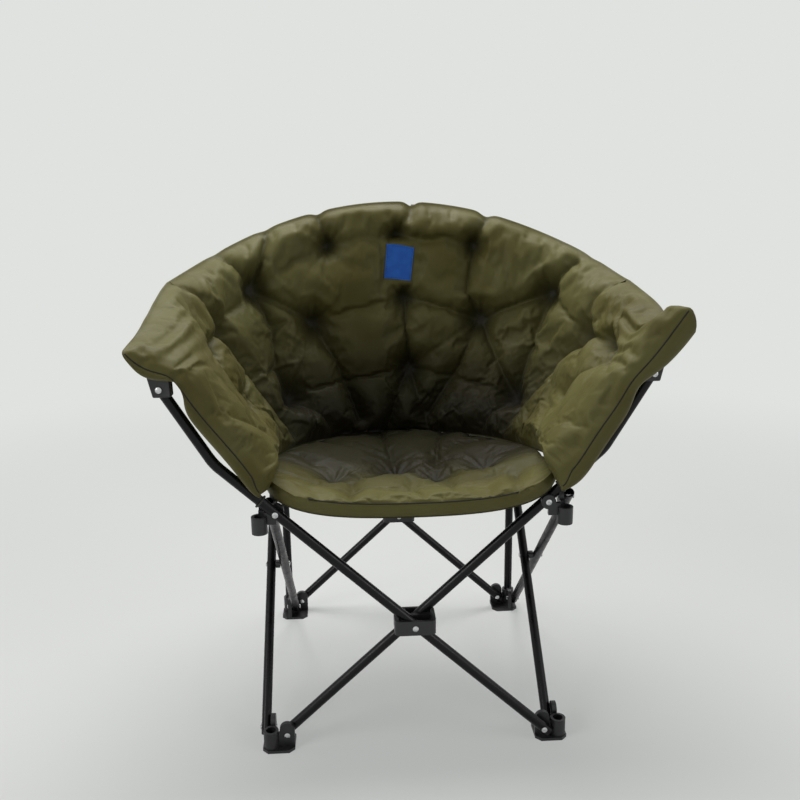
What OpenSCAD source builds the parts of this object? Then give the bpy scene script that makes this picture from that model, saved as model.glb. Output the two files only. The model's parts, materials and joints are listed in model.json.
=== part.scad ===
// Folding saucer chair: a scissor frame on four feet that carries a quilted bucket seat.
// Origin on the floor below the middle of the chair. X to the viewer's right, Y to the back, Z up.
// Corner 0 is front left, and the corners and sides go on anticlockwise seen from above.

/* [Frame] */
// Half the distance between the sockets of two neighbouring feet
half_span = 235; // [225:5:250]
// Outside diameter of the frame tubes
tube_d = 16; // [15:0.5:17]
// Wall of the frame tubes
tube_wall = 1.2; // [0.8:0.1:2]
// Distance along a side from a socket's centre to the rivet beside it
pivot_inset = 26; // [25.5:0.5:30]
// Height of the rivets in the feet
foot_pivot_z = 24; // [23:1:28]
// Height of the rivets in the hubs when the chair is open
hub_pivot_z = 412; // [408:1:414]
// Length of tube that runs on past its last rivet
tube_stub = 12; // [10:0.5:12.5]
// Thickness of the moulded web between two crossing tubes
web_t = 7.4; // [6:0.2:8]
// Gap between a tube and the moulding that it lies on
side_gap = 0.3; // [0.2:0.1:0.5]
// Distance from the sockets' line inwards to the middle of the webs
web_inset = 2; // [1:0.5:3]

/* [Arms] */
// Straight length of an arm tube from its hub rivet to its bend
arm_low_l = 107; // [100:1:115]
// Turn of the arm's bend
arm_bend = 16.4; // [14:0.2:18]
// Centreline radius of the arm's bend
arm_bend_r = 80; // [70:5:90]
// Straight length of an arm tube above its bend
arm_top_l = 136; // [130:1:140]

/* [Back frame] */
// Height of the pins that carry the rim hoops
hoop_pin_z = 646; // [640:1:655]
// Diameter of the sprung rim hoops
hoop_d = 12; // [11:0.5:13]
// Height of the hoops' bow above the line between their pins
hoop_bow = 64; // [50:1:70]
// Distance from an upright's axis to its hoop pin
hoop_pin_inset = 14; // [13.5:0.5:15]

/* [Rivets] */
// Shank diameter of the rivets
rivet_d = 5; // [4:0.5:6]
// Head diameter of the rivets
rivet_head_d = 9.2; // [8:0.2:10]
// Height of a rivet head
rivet_head_h = 2; // [1.5:0.1:2.2]
// Radial running clearance of a rivet in its hole
rivet_clear = 0.06; // [0.03:0.01:0.09]

/* [Mouldings] */
// Outside diameter of the sockets and sleeves
socket_d = 24.6; // [24:0.2:25]
// Radial clearance of an upright in its socket or sleeve
socket_clear = 0.08; // [0.04:0.01:0.1]
// Height of the rim of a foot's socket
socket_h = 34; // [30:1:38]
// Thickness of the floor of a foot's socket
socket_floor = 6; // [5:0.5:8]
// Height of the flange that a foot stands on
sole_h = 5; // [4:0.5:6]
// Distance from a socket's centre to the outer edge of the flange
sole_out = 14; // [13:0.5:16]
// Distance from a socket's centre to the inner edge of the flange
sole_in = 38; // [36:0.5:42]
// Cut at the flange's corners
sole_cut = 9; // [6:0.5:11]
// Radius of the round end of a foot's web
foot_web_r = 12; // [11:0.5:13]
// Height that a foot's web stands above its rivet
foot_web_rise = 10; // [6:1:14]
// Radius of the round end of a hub's web
hub_web_r = 11.5; // [10.5:0.1:11.5]
// Distance from a hub's rivets down to the top of its sleeve
sleeve_top_drop = 8; // [8:1:12]
// Height of a hub's sleeve
sleeve_h = 27; // [24:1:32]
// Distance from a hub's rivets down to the top of its webs
hub_web_drop = 2; // [1:0.5:4]

/* [Cross blocks] */
// Length of a cross block along its side
block_l = 65; // [64:1:70]
// Height of a cross block
block_h = 24; // [20:1:24]
// Thickness of a cross block's outer plates
block_plate = 5; // [4:0.5:6]
// Length of the slots that the tubes pass through
slot_l = 52; // [51:0.5:54]
// Corner radius of the cross blocks
block_r = 9; // [6:0.5:10]
// Outside diameter of the spacer at a side crossing
spacer_d = 15; // [12:0.5:16]

/* [Brackets] */
// Width of an arm bracket across its tube, seen from the front
arm_cap_w = 21; // [20:0.5:22]
// Depth of an arm bracket from front to back
arm_cap_t = 20.4; // [19.5:0.1:20.6]
// Length of an arm bracket along its tube
arm_cap_l = 34; // [30:1:36]
// Thickness of the closed end of an arm bracket
arm_cap_end = 6; // [4:0.5:8]
// Distance from the end of an arm tube to its rivet
arm_rivet_in = 12; // [10:0.5:14]
// Thickness of the cheeks that hold the hoops
cheek_t = 3; // [2.5:0.1:3.5]
// Radius of the round cheeks
cheek_r = 9; // [8:0.5:10]
// Depth of the upright in its top bracket
top_socket_l = 22; // [18:1:25]
// Outside diameter of the cloth sleeves on the hoops
sleeve_d = 17; // [16:0.5:18]
// Thickness of the cloth of the sleeves and of the label
cloth_t = 1; // [0.8:0.1:1.5]
// Diameter of the cord loops at the seat's front corners
cord_d = 3; // [2.5:0.1:3.4]

/* [Bucket] */
// How far the rim's tips stand out past the ends of the arm tubes
tip_over = 28.74; // [26:0.02:32]
// How far the rim's tips lie above the ends of the arm tubes
tip_rise = 65.55; // [62:0.05:70]
// How far the wing's curve lies inside the corner of an arm's bend
wing_in = 16.47; // [15:0.01:18]
// How far the wing's curve lies below the corner of an arm's bend
wing_drop = 3.63; // [1:0.01:5]
// Distance from the line of the rear sockets forward to the rim
rim_back_gap = 16; // [15:0.5:20]
// How far the rim's tips reach forward of the front sockets
rim_front_over = 44; // [36:1:50]
// Length of the rim's straight runs at the front
rim_front_run = 179; // [170:1:190]
// How much lower the rim is at the sides
rim_side_drop = 125; // [110:1:130]
// How much further the rim falls towards its tips
rim_tip_drop = 38; // [25:1:38]
// Distance from the line of the sockets in to the sides of the seat pad
seat_side_gap = 7; // [5:0.5:12]
// Distance from the line of the rear sockets forward to the seat pad
seat_back_gap = 70; // [65:1:80]
// How far the seat pad reaches forward of the front sockets
seat_front_over = 20; // [15:1:25]
// Length of the seat pad's straight runs at the front
seat_front_run = 175; // [165:1:185]
// How far the seat pad's edge lies below the rivets of the hubs
seat_drop = 4; // [2:0.5:8]
// Thickness of the quilt where it is fullest
quilt_t = 45; // [36:1:48]
// Thickness of the quilt at its sewn edges
quilt_edge_t = 9; // [7:0.5:10]
// Thickness of the wings' quilt at their front edges
wing_front_t = 22; // [16:1:24]
// Thickness of the seat pad at its front edge
seat_front_t = 18; // [14:1:20]
// Width of the roll along the quilt's sewn edges
quilt_roll = 48; // [40:1:60]
// Width of a tuft's dimple
tuft_w = 58; // [50:1:70]
// Width of the creases between tufts
crease_w = 18; // [14:1:26]
// Sag of the seat pad's middle
seat_sag = 16; // [8:1:20]
// Thickness of the cloth that carries the quilt
sling_t = 1.6; // [1.2:0.1:2]
// Gap between two neighbouring soft pieces
soft_gap = 0.4; // [0.3:0.1:0.6]
// Gap between the back of the quilt and the cloth that carries it
sling_gap = 1.6; // [1.6:0.1:2]
// Width of the label
label_w = 50; // [40:1:56]
// Height of the label
label_h = 60; // [50:1:66]

/* [Hidden] */

$fn = 64;
over = 1;
bend_lap = 1;
bend_swell = 0.3;
tube_r = tube_d / 2;
web_mid = half_span - web_inset;
lane = web_t / 2 + side_gap + tube_r;
outer_lane = web_mid + lane;
inner_lane = web_mid - lane;
pivot_u = half_span - pivot_inset;
scissor_rise = hub_pivot_z - foot_pivot_z;
scissor_angle = atan(scissor_rise / (2 * pivot_u));
scissor_l = norm([scissor_rise, 2 * pivot_u]);
rivet_hole_d = rivet_d + 2 * rivet_clear;
socket_hole_d = tube_d + 2 * socket_clear;
centre_pin_x = pivot_inset - hoop_pin_inset;
hoop_chord = scissor_l / 2;
hoop_rise = hoop_chord * sin(scissor_angle);
hoop_r = (hoop_chord * hoop_chord / 4 + hoop_bow * hoop_bow) / (2 * hoop_bow);
hoop_half_angle = asin(hoop_chord / (2 * hoop_r));
cheek_in = hoop_d / 2 + side_gap;
block_reach = lane + tube_r + side_gap + block_plate + side_gap / 2;
rear_reach = web_mid + block_reach + rivet_head_h;
metal_black = [0.05, 0.05, 0.055];
moulded_black = [0.09, 0.09, 0.09];
bright = [0.75, 0.75, 0.77];
olive = [0.33, 0.33, 0.22];
dark_olive = [0.2, 0.2, 0.14];
blue = [0.12, 0.3, 0.65];

// Placing things
module placed() {
    translate([0, (rim_front_y - rear_reach) / 2, 0]) children();
}

module at_corner(k) {
    rotate([0, 0, 90 * k]) translate([-half_span, -half_span, 0]) children();
}

module on_side(k) {
    rotate([0, 0, 90 * k]) children();
}

// A child made along X goes from a foot's rivet up to the hub across its side
module along_scissor(lane_y) {
    translate([-pivot_u, -lane_y, foot_pivot_z])
        rotate([0, -scissor_angle, 0]) children();
}

// Small shared shapes
module cross_hole(x, d, l) {
    translate([x, 0, 0]) rotate([90, 0, 0]) cylinder(h = l, d = d, center = true);
}

module rounded_rect(l, w, r) {
    square([l, w - 2 * r], center = true);
    square([l - 2 * r, w], center = true);
    for (x = [-1, 1], y = [-1, 1])
        translate([x * (l / 2 - r), y * (w / 2 - r)]) circle(r = r);
}

module rivet_head() {
    cylinder(h = rivet_head_h / 2, d = rivet_head_d);
    translate([0, 0, rivet_head_h / 2])
        cylinder(h = rivet_head_h / 2, d1 = rivet_head_d, d2 = rivet_head_d / 2);
}

// Rivet along Z with the inner faces of its heads at z0 and z1
module rivet(z0, z1) {
    translate([0, 0, z0]) cylinder(h = z1 - z0, d = rivet_d);
    translate([0, 0, z1]) rivet_head();
    translate([0, 0, z0]) mirror([0, 0, 1]) rivet_head();
}

// Tubes
module tube_body(l, d) {
    rotate([0, 90, 0]) cylinder(h = l, d = d);
}

module straight_tube(holes) {
    l = scissor_l + 2 * tube_stub;
    translate([-tube_stub, 0, 0]) difference() {
        tube_body(l, tube_d);
        translate([-over, 0, 0]) tube_body(l + 2 * over, tube_d - 2 * tube_wall);
        for (x = holes)
            cross_hole(x + tube_stub, rivet_hole_d, tube_d + 2 * over);
    }
}

module tube_bend(r, angle, d) {
    translate([0, 0, r]) rotate([90, 0, 0]) rotate([0, 0, -90])
        rotate_extrude(angle = angle) translate([r, 0]) circle(d = d);
}

module past_bend() {
    translate([arm_bend_r * sin(arm_bend), 0, arm_bend_r * (1 - cos(arm_bend))])
        rotate([0, -arm_bend, 0]) children();
}

// The bend is swollen a little, as a bent tube is, and the straight ends run on into it
module arm_run(d, extra) {
    low = scissor_l + arm_low_l;
    translate([-tube_stub - extra, 0, 0]) tube_body(low + tube_stub + extra + bend_lap, d);
    translate([low, 0, 0]) {
        tube_bend(arm_bend_r, arm_bend, d + bend_swell);
        past_bend() translate([-bend_lap, 0, 0]) tube_body(arm_top_l + extra + bend_lap, d);
    }
}

module to_arm_top() {
    translate([scissor_l + arm_low_l, 0, 0]) past_bend()
        translate([arm_top_l, 0, 0]) children();
}

module arm_tube(lane_y) {
    color(metal_black) along_scissor(lane_y) difference() {
        arm_run(tube_d, 0);
        arm_run(tube_d - 2 * tube_wall, over);
        for (x = [0, scissor_l / 2, scissor_l])
            cross_hole(x, rivet_hole_d, tube_d + 2 * over);
        to_arm_top() cross_hole(-arm_rivet_in, rivet_hole_d, tube_d + 2 * over);
    }
}

module side_tube(k, lane_y, flip) {
    color(metal_black) on_side(k) mirror([flip, 0, 0]) along_scissor(lane_y)
        straight_tube([0, scissor_l / 2, scissor_l]);
}

// Feet: a socket, two webs square to each other and a flange with cut corners
module foot_web_outline() {
    translate([0, sole_h]) square([pivot_inset + foot_web_r, foot_pivot_z - sole_h]);
    translate([pivot_inset, foot_pivot_z]) circle(r = foot_web_r);
    translate([pivot_inset - foot_web_r, foot_pivot_z - over])
        square([2 * foot_web_r, foot_web_rise + over]);
    translate([pivot_inset, foot_pivot_z + foot_web_rise]) circle(r = foot_web_r);
}

module foot_web() {
    translate([0, web_inset + web_t / 2, 0]) rotate([90, 0, 0])
        linear_extrude(web_t) difference() {
            foot_web_outline();
            translate([pivot_inset, foot_pivot_z]) circle(d = rivet_hole_d);
        }
}

module sole_outline() {
    a = -sole_out;
    b = sole_in;
    c = sole_cut;
    polygon([
        [a + c, a], [b - c, a], [b, a + c], [b, b - c],
        [b - c, b], [a + c, b], [a, b - c], [a, a + c]
    ]);
}

module foot(k) {
    color(moulded_black) at_corner(k) difference() {
        union() {
            linear_extrude(sole_h) sole_outline();
            cylinder(h = socket_h, d = socket_d);
            foot_web();
            mirror([1, -1, 0]) foot_web();
        }
        translate([0, 0, socket_floor]) cylinder(h = foot_pivot_z + socket_h, d = socket_hole_d);
    }
}

// A corner's two rivets: one tube lies inside the first web, the other outside the second
module corner_rivets(k, z, first_side) {
    back = web_t / 2 + side_gap / 2;
    front = lane + tube_r + side_gap / 2;
    color(bright) at_corner(k) {
        translate([pivot_inset, web_inset, z]) rotate([-90 * first_side, 0, 0])
            rivet(-back, front);
        translate([web_inset, pivot_inset, z]) rotate([0, -90 * first_side, 0])
            rivet(-back, front);
    }
}

// Hubs: a sleeve with two webs at the level of the rivets
module hub_web_outline() {
    low = sleeve_top_drop + sleeve_h / 2;
    translate([0, -low]) square([pivot_inset, low - hub_web_drop]);
    translate([pivot_inset, 0]) circle(r = hub_web_r);
}

module hub_web() {
    translate([0, web_inset + web_t / 2, hub_pivot_z]) rotate([90, 0, 0])
        linear_extrude(web_t) difference() {
            hub_web_outline();
            translate([pivot_inset, 0]) circle(d = rivet_hole_d);
        }
}

module hub(k) {
    bottom = hub_pivot_z - sleeve_top_drop - sleeve_h;
    color(moulded_black) at_corner(k) difference() {
        union() {
            translate([0, 0, bottom]) cylinder(h = sleeve_h, d = socket_d);
            hub_web();
            mirror([1, -1, 0]) hub_web();
        }
        translate([0, 0, bottom - over])
            cylinder(h = sleeve_h + sleeve_top_drop + over, d = socket_hole_d);
    }
}

// Cross blocks: two upright slots with a web between them
module cross_block(k) {
    slot_w = tube_d + 2 * side_gap;
    depth = web_t + 2 * slot_w + 2 * block_plate;
    color(moulded_black) on_side(k)
        translate([0, -web_mid, foot_pivot_z + scissor_rise / 2 - block_h / 2]) difference() {
            linear_extrude(block_h) difference() {
                rounded_rect(block_l, depth, block_r);
                for (side = [-1, 1]) translate([0, side * lane])
                    rounded_rect(slot_l, slot_w, block_plate / 2);
            }
            translate([0, 0, block_h / 2]) cross_hole(0, rivet_hole_d, depth + 2 * over);
        }
}

module cross_rivet(k) {
    color(bright) on_side(k) translate([0, -web_mid, foot_pivot_z + scissor_rise / 2])
        rotate([90, 0, 0]) rivet(-block_reach, block_reach);
}

module cross_bolt(k) {
    reach = lane + tube_r + side_gap / 2;
    color(bright) on_side(k) translate([0, -web_mid, foot_pivot_z + scissor_rise / 2])
        rotate([90, 0, 0]) rivet(-reach, reach);
}

module cross_spacer(k) {
    color(moulded_black) on_side(k)
        translate([0, -web_mid, foot_pivot_z + scissor_rise / 2]) rotate([90, 0, 0])
            difference() {
                cylinder(h = web_t, d = spacer_d, center = true);
                cylinder(h = web_t + 2 * over, d = rivet_hole_d, center = true);
            }
}

// Back frame
module upright(flip) {
    top = hoop_pin_z - hoop_d / 2 - side_gap - arm_cap_end;
    color(metal_black) mirror([flip, 0, 0])
        translate([half_span, half_span, socket_floor + side_gap]) difference() {
            cylinder(h = top - socket_floor - 2 * side_gap, d = tube_d);
            translate([0, 0, -over]) cylinder(h = top, d = tube_d - 2 * tube_wall);
        }
}

module hoop_cheeks(x, w) {
    for (y = [-1, 1])
        translate([x, y * (cheek_in + cheek_t / 2), 0]) rotate([90, 0, 0])
            linear_extrude(cheek_t, center = true) difference() {
                union() {
                    circle(r = cheek_r);
                    translate([-cheek_r, -w]) square([2 * cheek_r, w]);
                }
                circle(d = rivet_hole_d);
            }
}

module top_bracket(flip) {
    top = hoop_pin_z - hoop_d / 2 - side_gap;
    bottom = top - arm_cap_end - top_socket_l;
    color(moulded_black) mirror([flip, 0, 0]) translate([half_span, half_span, 0]) {
        difference() {
            union() {
                translate([0, 0, bottom]) cylinder(h = top - bottom, d = socket_d);
                translate([-hoop_pin_inset, 0, bottom + top_socket_l]) linear_extrude(arm_cap_end)
                    rounded_rect(2 * cheek_r, 2 * (cheek_in + cheek_t), cheek_t / 2);
                translate([0, 0, hoop_pin_z])
                    hoop_cheeks(-hoop_pin_inset, hoop_d / 2 + side_gap + arm_cap_end);
            }
            translate([0, 0, bottom - over])
                cylinder(h = top_socket_l + over, d = socket_hole_d);
        }
    }
}

module hoop_pin(x) {
    reach = cheek_in + cheek_t + side_gap / 2;
    translate([x, half_span, 0]) rotate([90, 0, 0]) rivet(-reach, reach);
}

module top_pin(flip) {
    color(bright) mirror([flip, 0, 0]) translate([0, 0, hoop_pin_z])
        hoop_pin(half_span - hoop_pin_inset);
}

// A child made in the plane of the hoop's arc, with the arc's centre at the origin
module on_hoop_arc(start) {
    translate([hoop_chord / 2, 0, hoop_bow - hoop_r]) rotate([90, 0, 0])
        rotate([0, 0, 90 - hoop_half_angle + start]) children();
}

module along_hoop(flip) {
    mirror([flip, 0, 0]) translate([-half_span + hoop_pin_inset, half_span, hoop_pin_z])
        rotate([0, -scissor_angle, 0]) children();
}

module hoop(flip) {
    color(metal_black) along_hoop(flip) difference() {
        union() {
            on_hoop_arc(0) rotate_extrude(angle = 2 * hoop_half_angle)
                translate([hoop_r, 0]) circle(d = hoop_d);
            for (x = [0, hoop_chord])
                cross_hole(x, hoop_d, hoop_d);
        }
        for (x = [0, hoop_chord])
            cross_hole(x, rivet_hole_d, hoop_d + 2 * over);
    }
}

module centre_block() {
    color(moulded_black) translate([0, half_span, hoop_pin_z + hoop_rise]) difference() {
        union() {
            for (y = [-1, 1]) translate([0, y * (cheek_in + cheek_t / 2), 0])
                rotate([90, 0, 0]) linear_extrude(cheek_t, center = true)
                    rounded_rect(2 * (centre_pin_x + cheek_r), 2 * cheek_r, cheek_r - over);
            cube([2 * (centre_pin_x - hoop_d / 2 - side_gap), 2 * cheek_in + cheek_t,
                2 * cheek_r], center = true);
        }
        for (x = [-1, 1])
            cross_hole(x * centre_pin_x, rivet_hole_d, 2 * (cheek_in + cheek_t + over));
    }
}

module centre_pins() {
    color(bright) translate([0, 0, hoop_pin_z + hoop_rise])
        for (x = [-1, 1]) hoop_pin(x * centre_pin_x);
}

// Cloth sleeve on a hoop, with a flat edge that is sewn to the sling in front of it
module hoop_sleeve(flip) {
    end_angle = asin((cheek_r + socket_d / 2) / hoop_r);
    seam = half_span - rim_back_y - sling_t - sling_gap - soft_gap;
    color(dark_olive) along_hoop(flip) on_hoop_arc(end_angle)
        rotate_extrude(angle = 2 * (hoop_half_angle - end_angle))
            translate([hoop_r, 0]) {
                difference() {
                    circle(d = sleeve_d);
                    circle(d = hoop_d + 2 * side_gap);
                }
                translate([-cloth_t / 2, sleeve_d / 2 - cloth_t])
                    square([cloth_t, seam - sleeve_d / 2 + cloth_t]);
            }
}

// Arms
module arm_bracket(flip, lane_y) {
    color(moulded_black) mirror([flip, 0, 0]) along_scissor(lane_y) to_arm_top()
        difference() {
            translate([arm_cap_end - arm_cap_l, 0, 0]) rotate([0, 90, 0])
                linear_extrude(arm_cap_l) rounded_rect(arm_cap_w, arm_cap_t, arm_cap_end / 2);
            translate([-arm_cap_l, 0, 0]) tube_body(arm_cap_l + side_gap, socket_hole_d);
            cross_hole(-arm_rivet_in, rivet_hole_d, arm_cap_t + 2 * over);
        }
}

module arm_rivet(flip, lane_y) {
    reach = (arm_cap_t + side_gap) / 2;
    color(bright) mirror([flip, 0, 0]) along_scissor(lane_y) to_arm_top()
        translate([-arm_rivet_in, 0, 0]) rotate([90, 0, 0]) rivet(-reach, reach);
}

// Cord loop that ties a front corner of the seat to its arm tube
module cord_loop(flip, lane_y) {
    color(dark_olive) mirror([flip, 0, 0]) along_scissor(lane_y)
        translate([scissor_l + pivot_inset + cord_d, 0, 0]) rotate([0, 90, 0])
            rotate_extrude() translate([tube_r + side_gap + cord_d / 2, 0]) circle(d = cord_d);
}

// The bucket. A place on its wall is t, from -1 at the left tip round the back to 1 at the
// right tip, and v, from 0 at the seat to 1 at the rim. Its loops are rounded rectangles
// whose front ends run straight.
turn_share = 0.72;
arm_angle = scissor_angle + arm_bend;
arm_corner_l = arm_low_l + arm_bend_r * tan(arm_bend / 2);
arm_corner_x = pivot_u + arm_corner_l * cos(scissor_angle);
arm_corner_z = hub_pivot_z + arm_corner_l * sin(scissor_angle);
arm_past_l = arm_top_l + arm_bend_r * tan(arm_bend / 2);
rim_half_w = arm_corner_x + arm_past_l * cos(arm_angle) + tip_over;
rim_tip_z = arm_corner_z + arm_past_l * sin(arm_angle) + tip_rise;
rim_top_z = rim_tip_z + rim_side_drop + rim_tip_drop;
rim_back_y = half_span - rim_back_gap;
rim_front_y = half_span + rim_front_over;
rim_centre_y = rim_front_run - rim_front_y;
seat_half_w = half_span - seat_side_gap;
seat_back_y = half_span - seat_back_gap;
seat_front_y = half_span + seat_front_over;
seat_edge_z = hub_pivot_z - seat_drop;
loop_centre_y = seat_front_run - seat_front_y;
base_half_w = seat_half_w + quilt_edge_t + 3 * soft_gap;
base_back_y = seat_back_y + quilt_edge_t + 2 * soft_gap;
base_front_margin = 3.4;
base_front_half_w = pivot_u + tube_r + base_front_margin;
base_front_y = seat_front_y - base_front_margin;
base_lift = 4;
base_side_rise = 14;
base_corner_rise = 26;
rim_power = 3;
base_power = 1.8;
wing_share = 0.6;
corner_share = 0.84;
seam_share = 0.0004;
normal_step_share = 0.002;
wall_run = rim_top_z - seat_edge_z;
rim_run = rim_half_w + rim_front_y + rim_back_y;
base_run = base_half_w + base_front_y + base_back_y;

// Sewn tufts as shares of the way round and up the wall, the places at the edges that creases
// run out to, and the creases between all of them
tuft_shares = [
    [-0.55, 0.79], [-0.38, 0.845], [-0.183, 0.905], [0.002, 0.915], [0.208, 0.905],
    [0.408, 0.828], [0.6, 0.757], [-0.238, 0.655], [0.022, 0.715], [0.237, 0.652],
    [0.035, 0.415], [-0.375, 0.315], [0.4, 0.3], [-0.64, 0.43], [-0.67, 0.745], [0.73, 0.8],
    [0.81, 0.787]
];
crease_end_shares = [
    [-0.2, 1], [-0.32, 1], [-0.435, 1], [0.46, 1], [-0.36, 0.675], [-0.5, 0.49], [-0.46, 0],
    [0.46, 0], [0.198, 0.755]
];
creases = [
    [2, 17], [1, 18], [1, 19], [1, 7], [2, 3], [3, 4], [4, 25], [25, 9], [8, 9], [9, 5], [5, 20],
    [8, 10], [1, 21], [21, 11], [0, 22], [22, 23], [5, 6], [6, 15], [15, 16], [0, 14], [12, 24]
];
seat_tuft_shares = [[0, -0.1], [0.36, -0.08], [-0.4, -0.02], [0.1, -0.62], [-0.3, 0.5], [0.3, 0.5]];
seat_creases = [[0, 1], [0, 2], [0, 3], [0, 4], [0, 5], [1, 5], [2, 4], [1, 3], [2, 3]];

function lerp(a, b, s) = a + (b - a) * s;
function clip(x) = min(1, max(0, x));
function unit(p) = p / norm(p);
function round_r(turn, a, b, power) =
    pow(pow(abs(sin(turn)) / a, power) + pow(abs(cos(turn)) / b, power), -1 / power);

function loop_point(t, a, centre_y, back, power, front_a, front_y) =
    let (k = abs(t), turn = 90 * min(1, k / turn_share), r = round_r(turn, a, back, power),
        f = clip((k - turn_share) / (1 - turn_share)))
    [
        sign(t) * (k < turn_share ? r * sin(turn) : lerp(a, front_a, f)),
        k < turn_share ? centre_y + r * cos(turn) : lerp(centre_y, front_y, f)
    ];

function edge_z(x, y) =
    seat_edge_z + base_side_rise * pow(abs(x) / base_half_w, 2)
    + base_corner_rise * pow(abs(x) / base_half_w, 4) * clip(-y / (seat_front_y + loop_centre_y));

function rim_point(t) =
    let (p = loop_point(t, rim_half_w, rim_centre_y, rim_back_y - rim_centre_y, rim_power,
            rim_half_w, -rim_front_y))
    [p.x, p.y, rim_top_z - rim_side_drop * pow(p.x / rim_half_w, 2)
        - rim_tip_drop * max(0, -p.y / rim_front_y)];

function base_point(t) =
    let (p = loop_point(t, base_half_w, loop_centre_y, base_back_y - loop_centre_y, base_power,
            base_front_half_w, -base_front_y))
    [p.x, p.y, edge_z(p.x, p.y) + base_lift];

// How far out and up the wall's curve leans between its two loops: at the back, and at the
// front, where it follows the bend of the arms
back_lean = [1, 0.23];
base_front_z = edge_z(base_front_half_w, -base_front_y) + base_lift;
front_lean = [
    (arm_corner_x - wing_in - base_front_half_w) / (rim_half_w - base_front_half_w),
    (arm_corner_z - wing_drop - base_front_z) / (rim_tip_z - base_front_z)
];

function wall_point(t, v) =
    let (a = base_point(t), c = rim_point(t),
        out = lerp(back_lean.x, front_lean.x, clip(abs(t) / corner_share)),
        up = lerp(back_lean.y, front_lean.y, abs(t)),
        b = [lerp(a.x, c.x, out), lerp(a.y, c.y, out), lerp(a.z, c.z, up)])
    (1 - v) * (1 - v) * a + 2 * v * (1 - v) * b + v * v * c;

function wall_normal(t, v) =
    let (d = normal_step_share)
    unit(cross(wall_point(min(1, t + d), v) - wall_point(max(-1, t - d), v),
        wall_point(t, min(1, v + d)) - wall_point(t, max(0, v - d))));

function offset_wall(t, v, h) = wall_point(t, v) + wall_normal(t, v) * h;

// Fullness of a pad: rolled along its sewn edges, dimpled at tufts, creased between them
function roll(d) = d >= quilt_roll ? 1 : sqrt(max(0, 1 - pow(1 - max(0, d) / quilt_roll, 2)));
function bell(d, w) = exp(-d * d / (w * w));
function to_line(p, a, b) =
    let (s = clip((p - a) * (b - a) / ((b - a) * (b - a)))) norm(p - a - s * (b - a));
function nearest(p, spots) = min([for (q = spots) norm(p - q)]);
function nearest_line(p, ends, lines) = min([for (l = lines) to_line(p, ends[l[0]], ends[l[1]])]);
tuft_share = 0.86;
crease_share = 0.5;
function fullness(edge, p, spots, ends, lines) =
    edge * (1 - tuft_share * bell(nearest(p, spots), tuft_w / 2))
    * (1 - crease_share * bell(nearest_line(p, ends, lines), crease_w));

function on_cloth(t, v) = [t * lerp(base_run, rim_run, v), v * wall_run];
tuft_spots = [for (s = tuft_shares) on_cloth(s.x, s.y)];
crease_spots = concat(tuft_spots, [for (s = crease_end_shares) on_cloth(s.x, s.y)]);

// The quilt runs on full over the seams of the wings, and grows thick towards its front edges,
// but not at the seat
front_share = 0.9;
thick_from_share = 0.25;
function wall_depth(t, v) =
    let (run = lerp(base_run, rim_run, v),
        ahead = clip((abs(t) - front_share) / (1 - front_share)) * clip(v / thick_from_share),
        edge_t = lerp(quilt_edge_t, wing_front_t, ahead),
        edge = roll((1 - abs(t)) * run) * roll(v * wall_run) * roll((1 - v) * wall_run))
    edge_t + (quilt_t - edge_t) * fullness(edge, on_cloth(t, v), tuft_spots, crease_spots, creases);

// Closed skin between two grids of points, each nu by nv, outer grid first
function skin_faces(nu, nv) =
    let (n = nu * nv, f = function(i, j) i * nv + j)
    concat(
        [for (i = [0:nu - 2], j = [0:nv - 2], s = [0, 1])
            s == 0 ? [f(i, j), f(i + 1, j), f(i + 1, j + 1)] : [f(i, j), f(i + 1, j + 1), f(i, j + 1)]],
        [for (i = [0:nu - 2], j = [0:nv - 2], s = [0, 1])
            s == 0 ? [n + f(i, j), n + f(i + 1, j + 1), n + f(i + 1, j)]
                : [n + f(i, j), n + f(i, j + 1), n + f(i + 1, j + 1)]],
        [for (i = [0:nu - 2], s = [0, 1])
            s == 0 ? [f(i, 0), n + f(i, 0), n + f(i + 1, 0)] : [f(i, 0), n + f(i + 1, 0), f(i + 1, 0)]],
        [for (i = [0:nu - 2], s = [0, 1])
            s == 0 ? [f(i, nv - 1), f(i + 1, nv - 1), n + f(i + 1, nv - 1)]
                : [f(i, nv - 1), n + f(i + 1, nv - 1), n + f(i, nv - 1)]],
        [for (j = [0:nv - 2], s = [0, 1])
            s == 0 ? [f(0, j), f(0, j + 1), n + f(0, j + 1)] : [f(0, j), n + f(0, j + 1), n + f(0, j)]],
        [for (j = [0:nv - 2], s = [0, 1])
            s == 0 ? [f(nu - 1, j), n + f(nu - 1, j), n + f(nu - 1, j + 1)]
                : [f(nu - 1, j), n + f(nu - 1, j + 1), f(nu - 1, j + 1)]]
    );

module wall_skin(t0, t1, nu, nv) {
    ts = [for (i = [0:nu - 1]) lerp(t0, t1, i / (nu - 1))];
    vs = [for (j = [0:nv - 1]) (1 - cos(180 * j / (nv - 1))) / 4 + j / (nv - 1) / 2];
    polyhedron(
        points = concat(
            [for (t = ts, v = vs) wall_point(t, v)],
            [for (t = ts, v = vs) offset_wall(t, v, wall_depth(t, v))]),
        faces = skin_faces(nu, nv));
}

back_count = 33;
wing_count = 20;
row_count = 18;
sling_row_count = 8;
back_edge_share = wing_share - seam_share;

module back_pad() {
    color(olive) wall_skin(-back_edge_share, back_edge_share, back_count, row_count);
}

module wing_pad(side) {
    a = side * (wing_share + seam_share);
    color(olive) wall_skin(min(a, side), max(a, side), wing_count, row_count);
}

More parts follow.
